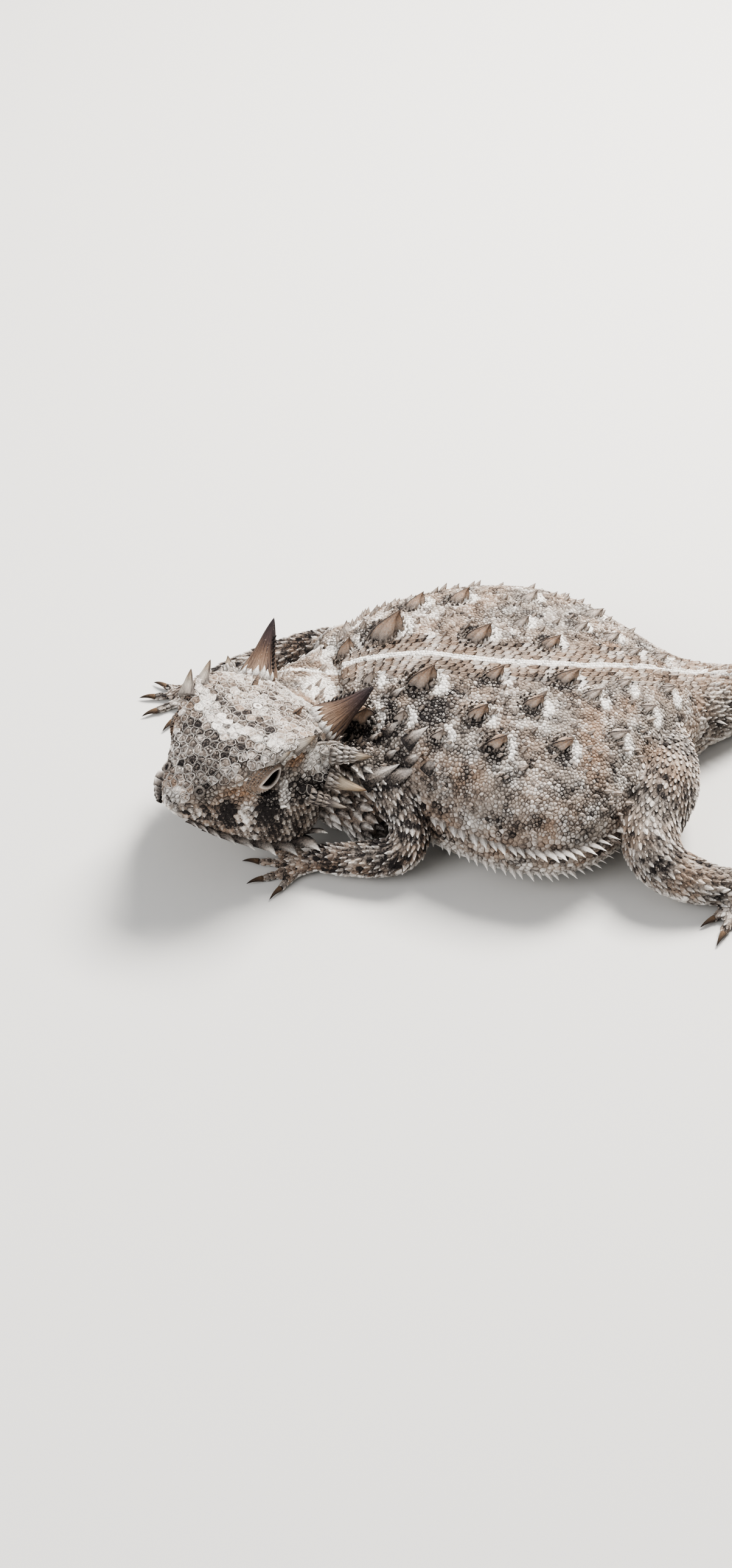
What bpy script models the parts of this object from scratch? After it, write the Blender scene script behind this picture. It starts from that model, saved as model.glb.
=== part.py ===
# A Texas horned lizard at rest on flat ground, life size: belly, feet and tail on the floor, the head
# turned to the
# animal's left and lifted a little, the near forearm laid along the ground under the jaw.
# The trunk runs along X with the tail towards +X, the animal's left side is towards -Y, and the floor
# is z = 0.
# Lengths are in millimetres, and the finished pieces are scaled to metres at the end.
import math
import random

import bmesh
import bpy
import numpy as np
from mathutils import Matrix

MM = 0.001
GAP = 0.3
SEED = 11
UP = np.array([0.0, 0.0, 1.0])

# Trunk and tail: position along X, then middle line y, half width, height of the back, height of the
# widest line,
# and the turn of the section in degrees.
TRUNK = [
    (-19.5, 3.1, 10.4, 14.0, 6.4, 0.0),
    (-17.0, 3.0, 13.3, 15.1, 6.3, 0.0),
    (-13.0, 2.3, 16.6, 16.3, 6.2, 0.0),
    (-9.0, 1.2, 19.0, 17.1, 6.2, 0.0),
    (-4.0, 0.0, 21.2, 17.5, 6.3, 0.0),
    (1.0, -0.9, 22.2, 17.5, 6.3, 0.0),
    (6.0, -1.2, 21.5, 17.1, 6.2, 0.0),
    (11.0, -0.9, 18.4, 16.0, 6.0, 0.0),
    (15.0, -0.1, 14.2, 14.4, 5.6, 0.0),
    (18.0, 1.1, 10.2, 12.8, 5.4, 0.0),
    (21.0, 2.5, 6.9, 10.9, 5.3, 0.0),
    (23.6, 3.9, 5.1, 9.4, 5.1, 0.0),
]
TAIL = [
    (23.6 + GAP, 4.0, 5.0, 9.3, 5.0, 0.0),
    (27.5, 5.7, 4.0, 7.9, 4.2, 17.0),
    (32.0, 7.7, 3.4, 6.4, 3.3, 24.0),
    (38.0, 10.2, 2.8, 5.0, 2.5, 22.0),
    (45.0, 12.7, 2.1, 3.6, 1.8, 18.0),
    (51.0, 14.5, 1.3, 2.3, 1.1, 14.0),
    (55.5, 15.5, 0.45, 1.0, 0.5, 12.0),
]
TAIL_SPLIT = 37.0
TAIL_DEPTH = 0.35
TRUNK_SIDES = 28
TRUNK_STEP = 2.2
BELLY_DEPTH = 0.9
SECTION_POWER = 0.86

# Head: place and turn of its own frame, whose origin is the middle of the back of the crown, x forward,
# y to the
# animal's left, z up through the crown.
OCCIPUT = np.array([-26.0, -5.2, 17.0])
HEAD_YAW, HEAD_PITCH, HEAD_ROLL = 224.6, 13.7, -4.7
HEAD_BACK = -1.0
# Position along the head, then height of the crown, brow half width and height, eye level half width
# and height,
# cheek half width and height, lip half width and height, jaw edge half width and height, height of the chin.
HEAD = [
    (-1.0, 0.1, 5.6, -0.9, 7.5, -3.4, 8.6, -6.2, 8.7, -9.6, 8.1, -12.3, -12.6),
    (2.5, 0.8, 7.0, 0.1, 7.9, -3.2, 8.9, -6.2, 9.2, -9.7, 9.0, -13.2, -13.7),
    (6.0, 0.9, 7.9, 0.9, 7.4, -3.0, 8.5, -6.4, 9.0, -9.8, 8.8, -13.5, -14.1),
    (10.0, 0.4, 7.6, 0.0, 6.4, -3.4, 7.5, -6.9, 7.8, -9.8, 7.4, -12.6, -13.3),
    (11.6, 0.0, 7.0, -1.6, 5.7, -4.1, 6.4, -7.2, 6.6, -9.7, 6.1, -12.2, -12.9),
    (13.2, -1.0, 5.6, -3.0, 5.0, -5.2, 5.2, -7.4, 5.3, -9.5, 4.8, -11.7, -12.3),
    (15.4, -3.1, 3.8, -4.6, 3.6, -6.0, 3.7, -7.6, 3.7, -9.0, 3.3, -10.6, -11.1),
    (16.8, -4.8, 2.7, -5.6, 2.7, -6.5, 2.6, -7.5, 2.5, -8.6, 2.2, -9.8, -10.3),
    (17.8, -6.2, 1.8, -6.5, 1.8, -7.1, 1.7, -7.6, 1.6, -8.2, 1.3, -8.9, -9.3),
    (18.4, -7.0, 0.9, -7.1, 0.9, -7.4, 0.9, -7.7, 0.9, -8.0, 0.7, -8.5, -8.7),
]
HEAD_STATIONS = [-1.0, 1.0, 3.0, 4.6, 6.2, 7.8, 9.4, 11.0, 12.4, 13.6, 14.7, 15.7, 16.6, 17.4, 18.0, 18.4]
MOUTH_DEPTH, MOUTH_HEIGHT = 0.45, 0.5

EYE_RADIUS = 2.0
EYE_CENTRE = np.array([10.1, 4.6, -3.5])
LIDS = np.array([3.1, 2.85, 2.5])
SLIT_LENGTH, SLIT_HEIGHT, SLIT_TILT = 3.6, 1.3, 13.0
NOSTRIL = np.array([16.6, 2.8, -5.0])
NOSTRIL_RADIUS = 0.5

# Horns of the head's left side in the head's frame: name, middle of the foot, tip, radius of the foot.
HORNS = [
    ("occipital", (-0.2, 5.2, -0.9), (-4.3, 7.9, 4.7), 2.35),
    ("temporal_1", (0.6, 8.0, -2.9), (-2.2, 11.6, -2.2), 1.25),
    ("temporal_2", (1.5, 9.0, -5.4), (-1.0, 12.8, -5.8), 1.2),
    ("temporal_3", (4.2, 9.0, -6.9), (1.5, 12.4, -7.5), 1.05),
]
HORN_SINK = 0.7
# Spines fused to the crown on each side, the small one between the great horns and two over the eye:
# foot, tip,
# radius, sides.
CROWN_SPINES = [
    ((2.6, 2.4, -0.3), (1.6, 2.7, 1.6), 0.8, 5),
    ((9.0, 6.9, -0.4), (5.3, 8.5, 1.9), 1.1, 6),
    ((10.2, 6.8, -0.4), (8.5, 8.5, 1.6), 0.9, 6),
]
JAW_SPINES = 8
NECK_DROP = -6.4
# Folds of loose skin low on the near side of the neck, where the head is turned, and of the shoulder behind it.
NECK_FOLD, NECK_FOLD_RADII = np.array([-20.7, -9.9, 5.2]), np.array([3.4, 4.3, 3.9])
SHOULDER_FOLD, SHOULDER_FOLD_RADII = np.array([-17.9, -11.2, 4.2]), np.array([3.4, 4.0, 3.9])
# Rows of spines on each side of the neck: height round the section in degrees, and length.
NECK_SPINES = [(48, 1.2), (12, 1.9), (-22, 1.7)]

# The four limbs: points from inside the body to the wrist or ankle, then half width and half height
# along the way.
NEAR_ARM = [
    (-15.5, -6.0, 7.6), (-15.0, -11.0, 8.2), (-13.0, -15.4, 5.8),
    (-14.2, -18.2, 3.6), (-19.0, -17.9, 2.5), (-24.6, -16.5, 1.9),
]
FAR_ARM = [
    (-15.5, 9.0, 7.4), (-18.0, 13.2, 7.4), (-22.0, 16.2, 5.2),
    (-26.5, 17.0, 3.4), (-31.5, 16.2, 2.2), (-36.2, 14.4, 1.7),
]
ARM_SIZES = [
    (0.0, 3.4, 3.2), (0.2, 2.9, 3.0), (0.4, 2.5, 2.7),
    (0.6, 2.3, 2.4), (0.8, 2.1, 2.1), (1.0, 1.6, 1.5),
]
NEAR_LEG = [
    (17.0, -3.4, 5.6), (16.6, -12.0, 6.8), (14.4, -18.6, 6.0),
    (15.4, -23.0, 4.4), (20.0, -24.9, 2.9), (24.8, -24.4, 1.9),
]
FAR_LEG = [
    (16.4, 5.0, 5.6), (13.2, 11.2, 5.8), (9.0, 15.8, 4.9),
    (6.2, 19.4, 3.8), (8.2, 22.6, 2.8), (12.8, 23.0, 1.9),
]
LEG_SIZES = [
    (0.0, 4.4, 4.0), (0.2, 4.6, 4.7), (0.4, 3.7, 4.0),
    (0.6, 3.0, 3.3), (0.8, 2.5, 2.6), (1.0, 1.7, 1.7),
]
# Name, points, sizes, then the shares of the way at the body, at the elbow or knee, and at the wrist or
# ankle.
LIMBS = [
    ("arm_left", NEAR_ARM, ARM_SIZES, 0.24, 0.66, 0.97),
    ("arm_right", FAR_ARM, ARM_SIZES, 0.24, 0.60, 0.97),
    ("leg_left", NEAR_LEG, LEG_SIZES, 0.30, 0.66, 0.97),
    ("leg_right", FAR_LEG, LEG_SIZES, 0.34, 0.68, 0.97),
]
SEGMENTS = {"arm": ("upper_arm", "forearm"), "leg": ("thigh", "shank")}

# Hands and feet: palm length, palm half width, thickness, then turn, length and half width of each toe.
HAND = (3.2, 2.5, 1.5, [(-62, 2.6, 0.62), (-30, 4.0, 0.62), (-4, 4.6, 0.62), (24, 4.2, 0.62), (58, 3.0, 0.6)])
FOOT = (4.0, 2.7, 1.6, [(-55, 3.0, 0.7), (-28, 4.8, 0.7), (-6, 6.4, 0.7), (16, 7.2, 0.7), (52, 4.0, 0.66)])
HAND_LEFT_HEADING, HAND_RIGHT_HEADING = 172, 207
FOOT_LEFT_HEADING, FOOT_RIGHT_HEADING = 268, 152

# Great spines of the back, on each side: position along the body, distance from its middle line, height.
BACK_SPINES = {
    "right": [
        (-19.2, 2.8, 1.8), (-18.8, 8.4, 1.3), (-14.4, 4.1, 3.2), (-10.5, 10.4, 1.9), (-5.2, 11.8, 1.9),
        (-3.8, 3.5, 2.4), (1.5, 6.7, 2.0), (3.2, 13.0, 1.8), (4.5, 3.0, 2.2), (8.6, 6.8, 1.3),
        (10.8, 10.8, 1.6), (12.2, 5.5, 1.5), (14.7, 3.2, 1.3), (18.2, 2.9, 1.3),
    ],
    "left": [
        (-17.9, 8.0, 2.4), (-16.8, 3.5, 1.5), (-13.7, 9.5, 1.5), (-10.9, 4.7, 2.7), (-9.6, 12.2, 1.5),
        (-5.0, 9.4, 2.0), (-3.2, 13.2, 1.9), (-2.6, 3.3, 2.3), (1.5, 7.4, 2.0), (4.2, 13.0, 1.9),
        (5.7, 3.0, 2.3), (8.6, 5.4, 1.8), (10.8, 10.8, 1.6), (12.6, 2.9, 1.4), (15.2, 6.2, 1.3),
        (18.2, 2.9, 1.3),
    ],
}
SPINE_LEAN = 0.45
SPINE_SINK = 0.9
# Rows of flat pointed scales along the flanks and tail: first and last position, count, height round the
# section in degrees, length, half width, and how much shorter the end ones are.
FLANK_ROWS = [(-12.5, 14.0, 16, 4, 2.2, 0.95, 0.35), (-10.0, 10.5, 11, -14, 1.5, 0.75, 0.35)]
TAIL_BASE_ROW = (24.7, 36.2, 7, 6, 1.5, 0.75, 0.0)
TAIL_TIP_ROW = (38.5, 51.0, 7, 6, 1.0, 0.6, 0.0)


def along(table, position):
    """The values at a position on the smooth curves through the rows of a table."""
    rows = np.array(table, float)
    where, values = rows[:, 0], rows[:, 1:]
    slopes = np.gradient(values, where, axis=0)
    k = int(np.clip(np.searchsorted(where, position) - 1, 0, len(where) - 2))
    span = where[k + 1] - where[k]
    t = np.clip((position - where[k]) / span, 0, 1)
    return (
        (2 * t**3 - 3 * t**2 + 1) * values[k]
        + (t**3 - 2 * t**2 + t) * span * slopes[k]
        + (3 * t**2 - 2 * t**3) * values[k + 1]
        + (t**3 - t**2) * span * slopes[k + 1]
    )


def unit(vector):
    return vector / np.linalg.norm(vector)


def material(name, colour, roughness):
    made = bpy.data.materials.new(name)
    made.use_nodes = True
    shader = made.node_tree.nodes["Principled BSDF"]
    shader.inputs["Base Color"].default_value = (*colour, 1.0)
    shader.inputs["Roughness"].default_value = roughness
    shader.inputs["Metallic"].default_value = 0.0
    return made


def add_object(name, bm, look=None):
    """An object from a mesh in millimetres, its faces turned outwards."""
    bm.normal_update()
    bmesh.ops.recalc_face_normals(bm, faces=bm.faces)
    mesh = bpy.data.meshes.new(name)
    bm.to_mesh(mesh)
    bm.free()
    made = bpy.data.objects.new(name, mesh)
    bpy.context.scene.collection.objects.link(made)
    if look:
        mesh.materials.append(look)
        mesh.shade_smooth()
    return made


def tube(name, rings, look=None):
    """A closed body through rings of points, with a flat cap at each end."""
    bm = bmesh.new()
    loops = [[bm.verts.new(point) for point in ring] for ring in rings]
    count = len(loops[0])
    for a, b in zip(loops, loops[1:]):
        for k in range(count):
            bm.faces.new((a[k], a[(k + 1) % count], b[(k + 1) % count], b[k]))
    bm.faces.new(loops[0][::-1])
    bm.faces.new(loops[-1])
    return add_object(name, bm, look)


def oval(centre, across, upward, half_width, half_height, count, power=2.0):
    ring = []
    for k in range(count):
        c, s = math.cos(2 * math.pi * k / count), math.sin(2 * math.pi * k / count)
        ring.append(
            centre
            + across * half_width * math.copysign(abs(c) ** (2 / power), c)
            + upward * half_height * math.copysign(abs(s) ** (2 / power), s)
        )
    return ring


def cone(foot, tip, radius, sides=5, flatness=1.0, across=None):
    """A closed spine from a foot inside the flesh to its tip, narrowed by flatness on its thin sides."""
    direction = unit(tip - foot)
    wide = unit(np.cross(direction, UP if abs(direction[2]) < 0.9 else np.array([1.0, 0, 0])))
    if across is not None:
        wide = unit(across - direction * np.dot(across, direction))
    thin = np.cross(direction, wide)
    bm = bmesh.new()
    ring = [bm.verts.new(point) for point in oval(foot, wide, thin, radius, radius * flatness, sides)]
    point = bm.verts.new(tip)
    bm.faces.new(ring[::-1])
    for k in range(sides):
        bm.faces.new((ring[k], ring[(k + 1) % sides], point))
    return add_object("spine", bm)


def ball(centre, radii, turn, segments=14, rings=9):
    """An ellipsoid at a centre, its axes turned by a 3 x 3 matrix."""
    bm = bmesh.new()
    bmesh.ops.create_uvsphere(bm, u_segments=segments, v_segments=rings, radius=1.0)
    for vert in bm.verts:
        vert.co = turn @ (np.array(vert.co) * radii) + centre
    return add_object("ball", bm)


def largest_surface(made):
    """Removes every closed surface of the object but the one with the most room inside."""
    bm = bmesh.new()
    bm.from_mesh(made.data)
    unseen = set(bm.faces)
    groups = []
    while unseen:
        front = [unseen.pop()]
        group = list(front)
        while front:
            for edge in front.pop().edges:
                for face in edge.link_faces if len(edge.link_faces) == 2 else ():
                    if face in unseen:
                        unseen.discard(face)
                        front.append(face)
                        group.append(face)
        groups.append(group)

    def reach(group):
        points = np.array([vert.co for face in group for vert in face.verts])
        return np.prod(points.max(axis=0) - points.min(axis=0))

    groups.sort(key=reach)
    for group in groups[:-1]:
        bmesh.ops.delete(bm, geom=group, context="FACES")
    bm.to_mesh(made.data)
    bm.free()


def combine(made, pieces, operation, solver="EXACT"):
    """Applies one Boolean of all the pieces to the object and removes them."""
    group = bpy.data.collections.new("pieces")
    bpy.context.scene.collection.children.link(group)
    for piece in pieces:
        bpy.context.scene.collection.objects.unlink(piece)
        group.objects.link(piece)
    modifier = made.modifiers.new("combine", "BOOLEAN")
    modifier.operand_type = "COLLECTION"
    modifier.collection = group
    modifier.operation = operation
    modifier.solver = solver
    bpy.context.view_layer.update()
    result = bpy.data.meshes.new_from_object(made.evaluated_get(bpy.context.evaluated_depsgraph_get()))
    made.modifiers.clear()
    made.data = result
    for piece in pieces:
        bpy.data.objects.remove(piece)
    bpy.data.collections.remove(group)
    largest_surface(made)
    return made


def box(low, high):
    bm = bmesh.new()
    bmesh.ops.create_cube(bm, size=1.0)
    for vert in bm.verts:
        vert.co = np.array(vert.co) * (high - low) + (high + low) / 2
    return add_object("box", bm)


def rest_on_floor(made):
    """Cuts the object level with the floor."""
    return combine(made, [box(np.array([-90.0, -90, -20]), np.array([90.0, 90, 0]))], "DIFFERENCE")


def section_point(table, position, angle, side, floor_depth=BELLY_DEPTH):
    """A point on the trunk or tail. angle is 90 on top of the back, 0 at the widest line, -90 underneath."""
    middle, width, back, level, turn = along(table, position)
    c, s = math.cos(math.radians(angle)), math.sin(math.radians(angle))
    if angle >= 0:
        out, high = width * c**SECTION_POWER, level + (back - level) * s**0.88
    else:
        out, high = width * abs(c) ** 0.62, level - (level + floor_depth) * abs(s) ** 0.72
    heading = math.radians(turn)
    out *= side
    return np.array([position - math.sin(heading) * out, middle + math.cos(heading) * out, high])


def section_normal(table, position, angle, side):
    """The outward direction and the direction towards the tail on the trunk's or tail's skin."""
    here = section_point(table, position, angle, side)
    ahead = section_point(table, position + 0.2, angle, side) - here
    around = here - section_point(table, position, angle - 1, side)
    return unit(np.cross(around, ahead) * side), unit(ahead)


def skin_spine(table, position, angle, side, length, radius, lean, sides=4, flatness=1.0):
    """A spine on the skin of the trunk or tail, leaning back along the body."""
    normal, ahead = section_normal(table, position, angle, side)
    skin = section_point(table, position, angle, side)
    way = unit(normal + ahead * lean)
    foot_radius = radius * (1 + SPINE_SINK / length)
    return cone(skin - way * SPINE_SINK, skin + way * length, foot_radius, sides, flatness, ahead)


def scale_row(table, start, end, count, angle, length, radius, taper):
    """Rows of flat pointed scales along both sides, shorter by taper at their ends."""
    made = []
    for side in (1, -1):
        for k in range(count):
            share = (k + 0.5) / count
            size = (1 - taper * (2 * share - 1) ** 2) * random.uniform(0.88, 1.12)
            position = start + (end - start) * share
            made.append(skin_spine(table, position, angle, side, length * size, radius * size, 0.55, 4, 0.5))
    return made


def section_ring(table, position, count, floor_depth=BELLY_DEPTH):
    ring = []
    for k in range(count):
        turn = 360 * k / count
        side = 1 if turn < 180 else -1
        angle = 90 - turn if side == 1 else turn - 270
        ring.append(section_point(table, position, angle, side, floor_depth))
    return ring


def head_turn():
    """The head's directions as columns: forward, to its left, up."""
    yaw, pitch, roll = (math.radians(v) for v in (HEAD_YAW, HEAD_PITCH, HEAD_ROLL))
    forward = np.array([math.cos(yaw) * math.cos(pitch), math.sin(yaw) * math.cos(pitch), math.sin(pitch)])
    left = np.array([-math.sin(yaw), math.cos(yaw), 0.0])
    up = np.cross(forward, left)
    rolled_left = left * math.cos(roll) + up * math.sin(roll)
    rolled_up = up * math.cos(roll) - left * math.sin(roll)
    return np.stack([forward, rolled_left, rolled_up], 1)


TURN = head_turn()


def on_head(point):
    return OCCIPUT + TURN @ np.array(point, float)


def head_ring(position):
    row = along(HEAD, position)
    crown, brow, brow_high, eye, eye_high, cheek, cheek_high, lip, lip_high, jaw, jaw_high, chin = row
    half = [
        (0.0, crown),
        (brow * 0.35, crown + 0.02),
        (brow * 0.72, (crown + brow_high) / 2 + 0.15),
        (brow, brow_high),
        (brow - 0.1, brow_high - 0.7),
        ((brow + eye) / 2 - 0.35, (brow_high + eye_high) / 2 - 0.3),
        (eye, eye_high),
        ((eye + cheek) / 2 + 0.1, (eye_high + cheek_high) / 2),
        (cheek, cheek_high),
        ((cheek + lip) / 2 + 0.15, (cheek_high + lip_high) / 2),
        (lip, lip_high + 0.25),
        (lip - MOUTH_DEPTH, lip_high),
        (lip - 0.12, lip_high - MOUTH_HEIGHT),
        (jaw, jaw_high),
        (jaw * 0.62, chin + 0.25),
        (0.0, chin),
    ]
    left = [on_head((position, y, z)) for y, z in half]
    right = [on_head((position, -y, z)) for y, z in half[-2:0:-1]]
    return left + right


def horn_shape(foot, tip, radius, name, look, start, sides=10):
    """A stout, slightly hooked horn of oval section from its foot to a blunt tip."""
    axis = tip - foot
    length = np.linalg.norm(axis)
    direction = axis / length
    across = unit(np.cross(direction, TURN[:, 2]))
    upward = np.cross(across, direction)
    rings = []
    for share in (0.0, 0.25, 0.5, 0.75, 0.92, 1.0):
        t = start / length + (1 - start / length) * share
        size = radius * (1 - t) ** 0.85 + 0.1
        bow = -upward * 0.05 * length * math.sin(math.pi * t)
        centre = foot + axis * t + (bow if share > 0 else 0.0)
        rings.append(oval(centre, across, upward, size, size * 0.9, sides))
    return tube(name, rings, look)


def path_rows(points):
    """The points of a path with each one's share of the way in front."""
    return [(k / (len(points) - 1), *point) for k, point in enumerate(points)]


def limb(points, radii, start, end, count=14, name="limb", look=None, power=2.2, lead=0.0):
    """A stretch of a limb, along its points and with rows of (share of the way, half width, half height).
    lead moves the first section on by that much, parallel to itself."""
    rows = path_rows(points)
    steps = max(3, int(round((end - start) * len(points) * 3.2)))
    rings = []
    for t in np.linspace(start, end, steps + 1):
        tangent = unit(along(rows, min(t + 0.01, 1.0)) - along(rows, max(t - 0.01, 0.0)))
        across = unit(np.cross(tangent, UP))
        upward = np.cross(across, tangent)
        wide, high = along(radii, t)
        centre = along(rows, t) + tangent * (0.0 if rings else lead)
        rings.append(oval(centre, across, upward, wide, high, count, power))
    return tube(name, rings, look)


def clear_limb(limb_row, start, end):
    """A stretch of a limb made wider by the gap, for cutting what stands round it."""
    clear = [(share, wide + GAP, high + GAP) for share, wide, high in limb_row[2]]
    return limb(limb_row[1], clear, start, end, 16)


def foot(name, limb_row, heading, sizes_of_foot):
    """Palm and clawed toes in one piece, flat on the floor, hollowed where the limb stands against it."""
    palm_length, palm_width, thick, toes = sizes_of_foot
    _, points, sizes, _, _, end = limb_row
    rows = path_rows(points)
    wrist = along(rows, end)
    tangent = unit(along(rows, 1.0) - along(rows, 0.97))
    tangent[2] = 0
    forward = np.array([math.cos(math.radians(heading)), math.sin(math.radians(heading)), 0.0])
    across = np.array([-forward[1], forward[0], 0.0])
    ground = np.array([wrist[0], wrist[1], 0]) + unit(tangent) * 0.7
    rings = []
    palm_rows = ((0.0, 0.72, 1.0), (0.3, 0.85, 0.95), (0.65, 1.0, 0.8), (0.9, 0.95, 0.62), (1.0, 0.7, 0.45))
    for share, wide, high in palm_rows:
        drop = wrist[2] * 0.8 * (1 - share) + thick * 0.5 * share
        centre = ground + forward * palm_length * share + UP * drop
        rings.append(oval(centre, across, UP, palm_width * wide, thick * high, 12, 2.3))
    palm = tube(name, rings, LEG_SKIN)
    pieces = [limb(points, sizes, end - 0.05, 1.0, 12)]
    for turn, length, width in toes:
        spread = math.radians(turn)
        way = forward * math.cos(spread) + across * math.sin(spread)
        side = np.array([-way[1], way[0], 0.0])
        root = ground + forward * palm_length * 0.6 + across * palm_width * 0.75 * math.sin(spread)
        toe = []
        for share, size, high in ((0.0, 1.15, 0.9), (0.35, 1.0, 1.0), (0.75, 0.9, 0.8), (1.0, 0.6, 0.55)):
            centre = root + way * length * share + UP * thick * 0.42 * high
            toe.append(oval(centre, side, UP, width * size, width * size * 0.95, 6))
        pieces.append(tube("toe", toe))
        knuckle = root + way * (length - 0.5) + UP * (thick * 0.25 + 0.12)
        pieces.append(cone(knuckle, knuckle + way * 2.0 - UP * 0.32, width * 0.62, 5, 1.2))
    combine(palm, pieces, "UNION")
    combine(palm, [clear_limb(limb_row, end - 0.3, end + 0.02)], "DIFFERENCE")
    return rest_on_floor(palm)


for old in list(bpy.data.objects):
    bpy.data.objects.remove(old)
random.seed(SEED)

BACK = material("back_skin", (0.42, 0.36, 0.29), 0.85)
HEAD_SKIN = material("head_skin", (0.45, 0.40, 0.34), 0.8)
HORN = material("horn", (0.23, 0.13, 0.08), 0.55)
PALE_HORN = material("pale_horn", (0.50, 0.43, 0.34), 0.65)
EYE = material("eye", (0.02, 0.017, 0.015), 0.15)
LEG_SKIN = material("leg_skin", (0.44, 0.38, 0.31), 0.85)

# Trunk, with the shoulder and hip stubs that the limbs start from, its spines, and a clear place round
# each limb.
count = int((TRUNK[-1][0] - TRUNK[0][0]) / TRUNK_STEP) + 1
stations = np.linspace(TRUNK[0][0], TRUNK[-1][0], count)
torso = tube("torso", [section_ring(TRUNK, x, TRUNK_SIDES) for x in stations], BACK)
combine(torso, [limb(points, sizes, 0.0, root) for _, points, sizes, root, _, _ in LIMBS], "UNION")
fold = ball(SHOULDER_FOLD, SHOULDER_FOLD_RADII, np.eye(3), 14, 10)
ahead = box(np.array([-60.0, -60.0, -60.0]), np.array([TRUNK[0][0], 60.0, 60.0]))
combine(fold, [ahead], "DIFFERENCE")
combine(torso, [fold], "UNION")
spines = []
for row in FLANK_ROWS:
    spines += scale_row(TRUNK, *row)
for side, word in ((1, "right"), (-1, "left")):
    for position, distance, height in BACK_SPINES[word]:
        width = along(TRUNK, position)[1]
        angle = math.degrees(math.acos(min(1.0, (distance / width) ** (1 / SECTION_POWER))))
        spines.append(skin_spine(TRUNK, position, angle, side, height, height * 0.6, SPINE_LEAN, 5))
combine(torso, spines, "UNION")
pockets = []
for limb_row in LIMBS:
    pockets.append(clear_limb(limb_row, limb_row[3], limb_row[4]))
    pockets.append(clear_limb(limb_row, limb_row[4] - 0.02, 1.0))
combine(torso, pockets, "DIFFERENCE")
rest_on_floor(torso)

for name, points, sizes, root, joint, end in LIMBS:
    kind, side = name.split("_")
    upper, lower = SEGMENTS[kind]
    rest_on_floor(limb(points, sizes, root, joint, name=f"{upper}_{side}", look=LEG_SKIN, lead=GAP))
    rest_on_floor(limb(points, sizes, joint, end, name=f"{lower}_{side}", look=LEG_SKIN, lead=GAP))

foot("hand_left", LIMBS[0], HAND_LEFT_HEADING, HAND)
foot("hand_right", LIMBS[1], HAND_RIGHT_HEADING, HAND)
foot("foot_left", LIMBS[2], FOOT_LEFT_HEADING, FOOT)
foot("foot_right", LIMBS[3], FOOT_RIGHT_HEADING, FOOT)

# Tail in two lengths.
for name, start, end, row in (
    ("tail_base", TAIL[0][0], TAIL_SPLIT, TAIL_BASE_ROW),
    ("tail_tip", TAIL_SPLIT + GAP, TAIL[-1][0], TAIL_TIP_ROW),
):
    tail = tube(name, [section_ring(TAIL, x, 16, TAIL_DEPTH) for x in np.linspace(start, end, 9)], BACK)
    rest_on_floor(combine(tail, scale_row(TAIL, *row), "UNION"))


def collar(root, tip, radius, margin=0.0):
    """The boss of the skull that a horn stands on, with its flat face across the horn."""
    direction = unit(tip - root)
    across = unit(np.cross(direction, TURN[:, 2]))
    upward = np.cross(across, direction)
    rings = []
    for sink, size in ((-2.4, 1.5), (-0.7, 1.28), (HORN_SINK + margin, 1.0)):
        width = radius * size + margin
        rings.append(oval(root + direction * sink, across, upward, width, width, 12))
    return tube("collar", rings)


# Neck, from the flat front of the trunk to the flat back of the head, hollowed round the feet of the
# two great horns.
front_ring = section_ring(TRUNK, TRUNK[0][0], 20, 0.4)
trunk_centre = np.mean(front_ring, axis=0) - np.array([GAP, 0, 0])
head_centre = on_head((HEAD_BACK - GAP, 0, NECK_DROP))
rings = []
spines = []
for t in np.linspace(0, 1, 9):
    shift = (2 * t**3 - 3 * t**2 + 1) * trunk_centre + (3 * t**2 - 2 * t**3) * head_centre
    shift = shift + (t**3 - 2 * t**2 + t) * np.array([-8.0, 0, 0]) - (t**3 - t**2) * TURN[:, 0] * -8.0
    across = unit((1 - t) * np.array([0, -1.0, 0]) + t * TURN[:, 1])
    upward = unit((1 - t) * UP + t * TURN[:, 2])
    wide = 9.7 * (1 - t) + 7.8 * t - 0.3 * math.sin(math.pi * t)
    high = 6.3 * (1 - t) + 5.1 * t - 0.4 * math.sin(math.pi * t)
    rings.append(oval(shift, across, upward, wide, high, 20, 2.3))
    if 0.2 < t < 0.8:
        backward = unit((1 - t) * np.array([1.0, 0, 0]) - t * TURN[:, 0])
        for side in (1, -1):
            for turn, length in NECK_SPINES:
                angle = math.radians(turn + random.uniform(-5, 5))
                out = across * side * math.cos(angle) + upward * math.sin(angle)
                skin = shift + across * side * wide * math.cos(angle) + upward * high * math.sin(angle)
                way = unit(out + backward * 0.7)
                size = length * random.uniform(0.85, 1.15)
                spines.append(cone(skin - way * 1.2, skin + way * size, 1.1, 4, 0.6, backward))
neck = tube("neck", rings, BACK)
fold = ball(NECK_FOLD, NECK_FOLD_RADII, np.eye(3), 12, 8)
combine(neck, [fold] + spines, "UNION")
ahead = box(np.array([HEAD_BACK - GAP, -40.0, -40.0]), np.array([40.0, 40.0, 40.0]))
ahead.data.transform(Matrix.LocRotScale(OCCIPUT, Matrix(TURN), None))
behind = box(np.array([TRUNK[0][0] - GAP, -40.0, -40.0]), np.array([40.0, 40.0, 40.0]))
arms = [clear_limb(limb_row, 0.0, 0.6) for limb_row in LIMBS[:2]]
rest_on_floor(combine(neck, [ahead, behind] + arms, "DIFFERENCE"))
horn, root, tip, radius = HORNS[0]
hollows = []
for side in (1, -1):
    mirror = np.array([1, side, 1])
    hollows.append(collar(on_head(np.array(root) * mirror), on_head(np.array(tip) * mirror), radius, GAP))
combine(neck, hollows, "DIFFERENCE")

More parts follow.
